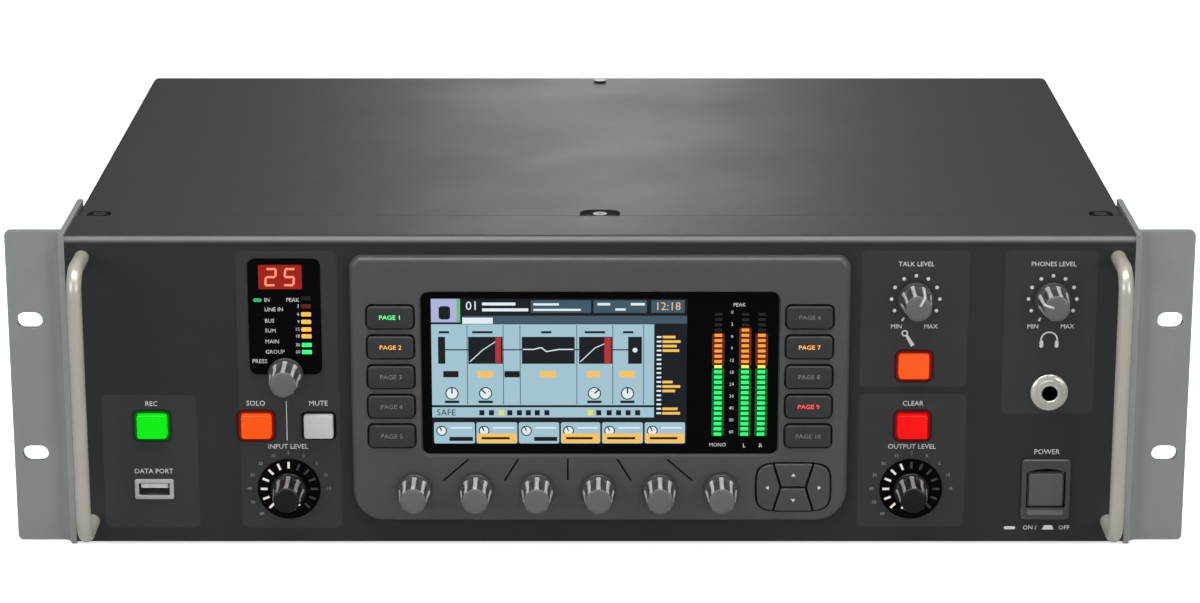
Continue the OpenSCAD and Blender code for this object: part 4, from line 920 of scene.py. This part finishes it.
# ---- Channel window ----
# A polished black acrylic plate let into the panel, with a two-digit red readout, a lit channel-type
# lamp and a short bar of eight lights behind it.
dress("channel_window", black_gloss)
glass_y = spot("channel_window")[2]
digit_lines = {"a": (-1.8, 3.4, 1.8, 3.4), "b": (1.9, 3.2, 1.9, 0.2), "c": (1.9, -0.2, 1.9, -3.2),
               "d": (-1.8, -3.4, 1.8, -3.4), "e": (-1.9, -0.2, -1.9, -3.2), "f": (-1.9, 3.2, -1.9, 0.2),
               "g": (-1.8, 0.0, 1.8, 0.0)}
digits = []
for middle, lit in ((-133.3, "abged"), (-125.7, "afgcd")):
    for segment in lit:
        x0, z0, x1, z1 = digit_lines[segment]
        digits.append(stroke(middle + x0 + 0.1 * z0, 114.7 + z0, middle + x1 + 0.1 * z1, 114.7 + z1, 0.85))
readout_red = lamp("readout_red", (0.33, 0.012, 0.008))
digit_red = lamp("digit_red", (1.0, 0.2, 0.11), 1.9)
readout = [span(-138.3, -120.7, 109.6, 119.8, 0.6)]
printed("readout_block", readout, glass_y, readout_red)
printed("readout_digits", digits, glass_y - 0.06, digit_red)
kinds = [words(text, 1.6, -136.2, z, "LEFT") for text, z in
         (("IN", 105.0), ("LINE IN", 101.0), ("BUS", 96.2), ("SUM", 92.0), ("MAIN", 87.4), ("GROUP", 83.0))]
kinds += [words("PEAK", 1.6, -124.6, 105.0), words("PRESS", 1.7, -138.6, 79.0)]
bar_z = {"off": (105.8,), "red": (102.4,), "amber": (99.0, 95.8, 92.6, 89.7), "green": (86.0, 83.0)}
marked_z = sum(bar_z.values(), ())[1:]
kinds += [words(str(v), 1.3, -122.0, z, "RIGHT") for v, z in zip((3, 6, 9, 12, 18, 30, 60), marked_z)]
printed("channel_lettering", kinds, glass_y, white_ink)
type_green = lamp("type_green", (0.02, 0.42, 0.13), 1.2)
printed("type_lamp", [tile(-138.9, 105.0, 3.4, 1.5, 0.6)], glass_y, type_green)
short_glow = {
    "off": ((0.01, 0.008, 0.008), 1.0),
    "red": ((0.12, 0.01, 0.006), 1.0),
    "amber": ((1.0, 0.36, 0.06), 1.6),
    "green": ((0.03, 0.85, 0.18), 1.5),
}
for shade, levels in bar_z.items():
    lit = lamp(f"short_{shade}", *short_glow[shade])
    short_bars = [tile(-119.3, z, 4.0, 1.75, 0.4) for z in levels]
    printed(f"channel_bar_{shade}", short_bars, glass_y, lit)

# ---- Lit buttons ----
# Five translucent caps over lamps. Round each lit one, emitting rings on the panel paint the light it
# throws into the gap round it; the mute cap is off and looks pale grey in a black ring, painted shade for its
# gap.
lit_caps = {
    "usb_button": ("green_cap", (0.0, 0.08, 0.0), (0.0, 0.76, 0.003), (0.0, 0.1, 0.005)),
    "solo_button": ("orange_cap", (0.08, 0.01, 0.0), (0.9, 0.085, 0.003), (0.2, 0.004, 0.002)),
    "talk_button": ("orange_cap", (0.08, 0.01, 0.0), (0.9, 0.095, 0.01), (0.18, 0.004, 0.002)),
    "clear_solo_button": ("red_cap", (0.08, 0.0, 0.0), (0.88, 0.003, 0.004), (0.18, 0.002, 0.003)),
    "mute_button": ("white_cap", (0.5, 0.5, 0.49), None, (0.0, 0.0, 0.0)),
}
glow_bands = [((14.3, 12.3, 2.2), (12.6, 10.6, 1.3), 1.0), ((15.1, 13.1, 2.6), (14.3, 12.3, 2.2), 0.45),
              ((16.0, 14.0, 3.0), (15.1, 13.1, 2.6), 0.17)]
for node, (slot, colour, shine, spill) in lit_caps.items():
    x, z, front, back = spot(node)
    look = finish(node + "_look", colour, 0.3, depth=0.02, mottle=0.06, smudge=0.05, glow=shine, specular=0.3)
    crown = cap(12.0, 10.0, 1.0, face + 3.1, front, 0.6, x, z)
    flange = cap(13.8, 11.8, 1.4, face + 4.3, face + 3.1, 0.1, x, z)
    stem = loft([ring(circle(1.5, 24), y, x, z) for y in (back, face + 4.3)], first=True, last=True)
    build(node + "_cap", [crown, flange, stem], look, node, [node])
    # Rings round the hole: painted glow in the button's colour for lit caps, and one black ring of painted
    # shade for the unlit mute cap
    for band, (outer, inner, share) in enumerate(glow_bands if shine else glow_bands[:1]):
        hems = [ring(rounded(*size), face - lift, x, z) for size, lift in
                ((outer, 0.02), (outer, 0.1), (inner, 0.1), (inner, 0.02), (outer, 0.02))]
        build(f"{node}_painted_gap_ring_{band + 1}", [loft(hems)],
              lamp(f"{node}_spill_{band + 1}", tuple(share * part for part in spill)))

# ---- Power switch, data port and headphone socket ----
# A latching square button in a grey moulded frame, a plated data port with a pale tongue, and a
# headphone socket with a cream nut and a black bore.
grey_plastic = finish("switch_plastic", (0.05, 0.055, 0.056), 0.36, wear_and_highlight=0.3, worn_highlight_colour=(0.2, 0.2, 0.2),
                      **moulded)
switch_front = spot("power_switch")[2]
arch = np.array([(8.1, 7.7), (4.2, 8.9), (0.0, 9.3), (-4.2, 8.9), (-8.1, 7.7), (-8.1, -7.7), (8.1, -7.7)])
well = rounded(15.0, 15.2, 0.8)
gap_floor = face - 0.1
frame_rings = [(rounded(20.0, 26.0, 1.5), face), (rounded(20.0, 26.0, 1.5), switch_front + 0.35),
               (rounded(19.3, 25.3, 1.2), switch_front)]
power_at = np.array([power_x, power_z])
build("power_frame", [
    loft([ring(o, y, power_x, power_z) for o, y in frame_rings], first=True),
    plate(frame_rings[-1][0] + power_at, [arch + power_at], switch_front),
    # The walls and floor of the gap round the button take material 1, near-black: painted shade in the recess
    loft([ring(arch, y, power_x, power_z) for y in (switch_front, gap_floor)], number=1),
    (*plate(arch + power_at, [well + power_at], gap_floor), 1),
    loft([ring(well, y, power_x, power_z) for y in (gap_floor, face + 12.0)], last=True, number=1),
], [grey_plastic, finish("painted_gap_shade", (0.002, 0.002, 0.002), 0.7, specular=0.1)],
      stands_for=["power_switch"])
x, z, front, back = spot("power_button")
stem = loft([ring(circle(1.7, 24), y, x, z) for y in (back, face + 8.0)], first=True, last=True)
build("power_button_cap", [cap(13.8, 13.9, 0.7, face + 8.0, front, 0.4, x, z), stem],
      finish("power_cap", (0.08, 0.086, 0.09), 0.42, **moulded), "power_button",
      ["power_button"])
# A pale printed strip under the button's opening: a painted highlight on the frame's curved lower lip
lip_highlight_grey = finish("lip_highlight_grey", (0.12, 0.126, 0.13), 0.3)
lip = [tile(x, z - 9.8, 15.0, 2.2, 0.8)]
printed("power_lip_highlight", lip, switch_front, lip_highlight_grey, thick=0.15)
plated = finish("plated", (0.52, 0.52, 0.51), 0.28, metal=0.9, grain=700.0, mottle=0.1)
dress("usb_port", plated)
x, z = spot("usb_port")[:2]
cream = finish("cream", (0.78, 0.76, 0.69), 0.24, metal=0.55, grain=900.0, mottle=0.06)
build("port_tongue", [cap(11.3, 2.0, 0.2, face + 11.9, face + 0.9, 0.2, x, z + 1.05)],
      finish("tongue_white", (0.72, 0.72, 0.7), 0.4))
port_edge = [(16.0, 8.6, 0.9, 0.0), (16.0, 8.6, 0.9, 0.5), (15.4, 8.0, 0.7, 0.7), (12.9, 5.5, 0.4, 0.7),
             (12.5, 5.1, 0.3, 0.4), (12.5, 5.1, 0.3, 0.0), (16.0, 8.6, 0.9, 0.0)]
build("port_rim", [loft([ring(rounded(w, h, r), face - lift, x, z) for w, h, r, lift in port_edge])],
      finish("rim_silver", (0.62, 0.63, 0.62), 0.3, metal=0.5, grain=700.0))
jack_x, jack_z, jack_front, _ = spot("headphone_jack")
nut = [(5.2, 16.5), (5.2, face), (7.6, face), (7.6, face - 0.5), (7.35, face - 0.8), (6.1, face - 1.25),
       (5.65, face - 1.3), (5.5, jack_front + 0.5), (5.2, jack_front + 0.05), (4.75, jack_front + 0.02),
       (4.6, jack_front + 0.3), (4.45, jack_front + 0.3), (4.3, jack_front + 0.02), (3.5, jack_front),
       (3.25, jack_front + 0.25)]
socket_bore = [(3.25, jack_front + 0.25), (3.2, jack_front + 0.6), (3.2, 15.0)]
nut_rings = [ring(circle(r, 64), y, jack_x, jack_z) for r, y in nut]
bore_rings = [ring(circle(r, 64), y, jack_x, jack_z) for r, y in socket_bore]
build("jack_nut", [loft(nut_rings, first=True), loft(bore_rings, last=True, number=1)],
      [cream, finish("bore_black", (0.004, 0.004, 0.004), 0.5, specular=0.2)],
      stands_for=["headphone_jack"])

# ---- Rack ears and grab handles ----
# Each ear is a plate with two slots and a side flange screwed to the case, in smooth silver-grey
# paint. The handles are bent 6 mm bar in satin nickel, held by screws from behind the panel.
ear_paint = finish("ear_paint", (0.235, 0.25, 0.245), 0.4, grain=1300.0, depth=0.04, mottle=0.05, wear_and_highlight=0.4,
                   worn_highlight_colour=(0.42, 0.43, 0.42))
handle_metal = finish("handle_metal", (0.6, 0.57, 0.5), 0.32, metal=0.45, grain=800.0, mottle=0.08)
for side in ("left", "right"):
    dress(f"rack_ear_{side}", ear_paint)
    dress(f"handle_{side}", handle_metal)

# ---- Screws ----
# Black zinc pan heads with cross recesses hold the cover, the ears, the handles and the sockets. The recesses
# are flat near-black crosses printed on the heads: painted shade.
black_screw = finish("black_screw", (0.03, 0.03, 0.031), 0.32, metal=0.6, grain=900.0)
dress("screws", black_screw)
recess_shade = finish("recess_shade", (0.002, 0.002, 0.002), 0.6)


def cross(x, z, reach):
    """The two bars of a cross recess, printed near-black on the flat head as painted shade."""
    return [tile(x, z, 2 * reach, 0.55), tile(x, z, 0.55, 2 * reach)]


cover_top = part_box("top_cover")[1].z / mm
cover_screws = sum([cross(x, 29.5, 1.4) for x in (9.5 - half_w, 0.0, half_w - 9.5)], [])
head_top = cover_top - 0.21
printed("cover_recesses", cover_screws, head_top, recess_shade, side="top", thick=0.02)

# ---- Rear sockets ----
# Sixteen three-hole inputs and eight three-pin outputs in black flanged shells, six jack sockets, a
# card with network sockets, a mains inlet and a fan behind its grille. Figures number the rows.
black_plastic = finish("black_plastic", (0.02, 0.02, 0.021), 0.42, grain=1800.0, depth=0.06)
for node in ("xlr_sockets", "line_sockets", "mains_inlet", "fan_frame", "fan_rotor"):
    dress(node, black_plastic)
dress("data_card", case_paint)
rear_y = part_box("rear_panel")[1].y / mm
columns = [24.0 - half_w + 27.0 * i for i in range(12)]
rows = [cover_top - 23.0, cover_top - 57.0]
gold = finish("gold_pin", (0.75, 0.58, 0.25), 0.25, metal=1.0, grain=600.0)


def pin(x, z, r, back, front):
    """A pin that points backwards, with a rounded tip."""
    steps = [(r * 0.6, back), (r, back - 0.4), (r, front)]
    return loft([ring(circle(radius, 16), y, x, z) for radius, y in steps], first=True, last=True)


pins = [pin(*polar(x, z, 4.0, -a), 1.26, rear_y - 0.45, rear_y - 12.9)
        for x in columns[8:] for z in rows for a in (30, 150, 270)]
build("output_pins", pins, gold)
head_profile = [(1.2, 2.35), (2.2, 2.1), (2.5, 1.6), (2.5, 1.45)]
screw_heads, recesses = [], []
for x in columns:
    for z in rows:
        for s in (-1, 1):
            at_x, at_z = x + 9.6 * s, z + 12.6 * s
            head = [ring(circle(r, 20), rear_y + lift, at_x, at_z) for r, lift in head_profile]
            screw_heads.append(loft(head, first=True, last=True))
            recesses += cross(-at_x, at_z, 1.1)
build("socket_screws", screw_heads, black_screw)
printed("socket_recesses", recesses, rear_y + 2.36, recess_shade, side="back", thick=0.02)
rear_marks = []
for i, x in enumerate(columns):
    for row, z in enumerate(rows):
        number = (i + 1 + 8 * row) if i < 8 else (i - 7 + 4 * row)
        rear_marks.append(words(str(number), 2.2, -x, z + 17.2 if not row else z - 17.2))
rear_marks += [words(str(i + 1), 2.0, -(columns[0] + 18.0 * i), 40.6) for i in range(6)]
rear_marks += [words("IN", 2.6, -columns[0], 126.8), words("OUT", 2.6, -columns[8], 126.8)]
printed("rear_lettering", rear_marks, rear_y + 0.01, white_ink, side="back")

# ---- Boards and supply inside ----
# Green circuit boards with black chips and a finned heat sink, an open power supply, and the
# encoders' metal cans with brass turning parts.
board = finish("board", (0.01, 0.09, 0.035), 0.35, grain=900.0, depth=0.02, mottle=0.12)
for node in ("control_board", "main_board", "power_supply"):
    dress(node, board)
dress("encoder_bodies", plated)
dress("select_rotor", finish("rotor_brass", (0.6, 0.42, 0.16), 0.3, metal=1.0, grain=700.0))
dress("lcd_module", finish("lcd_frame", (0.3, 0.31, 0.32), 0.35, metal=0.8, grain=700.0))
dress("led_modules", finish("light_guide", (0.55, 0.55, 0.52), 0.4))
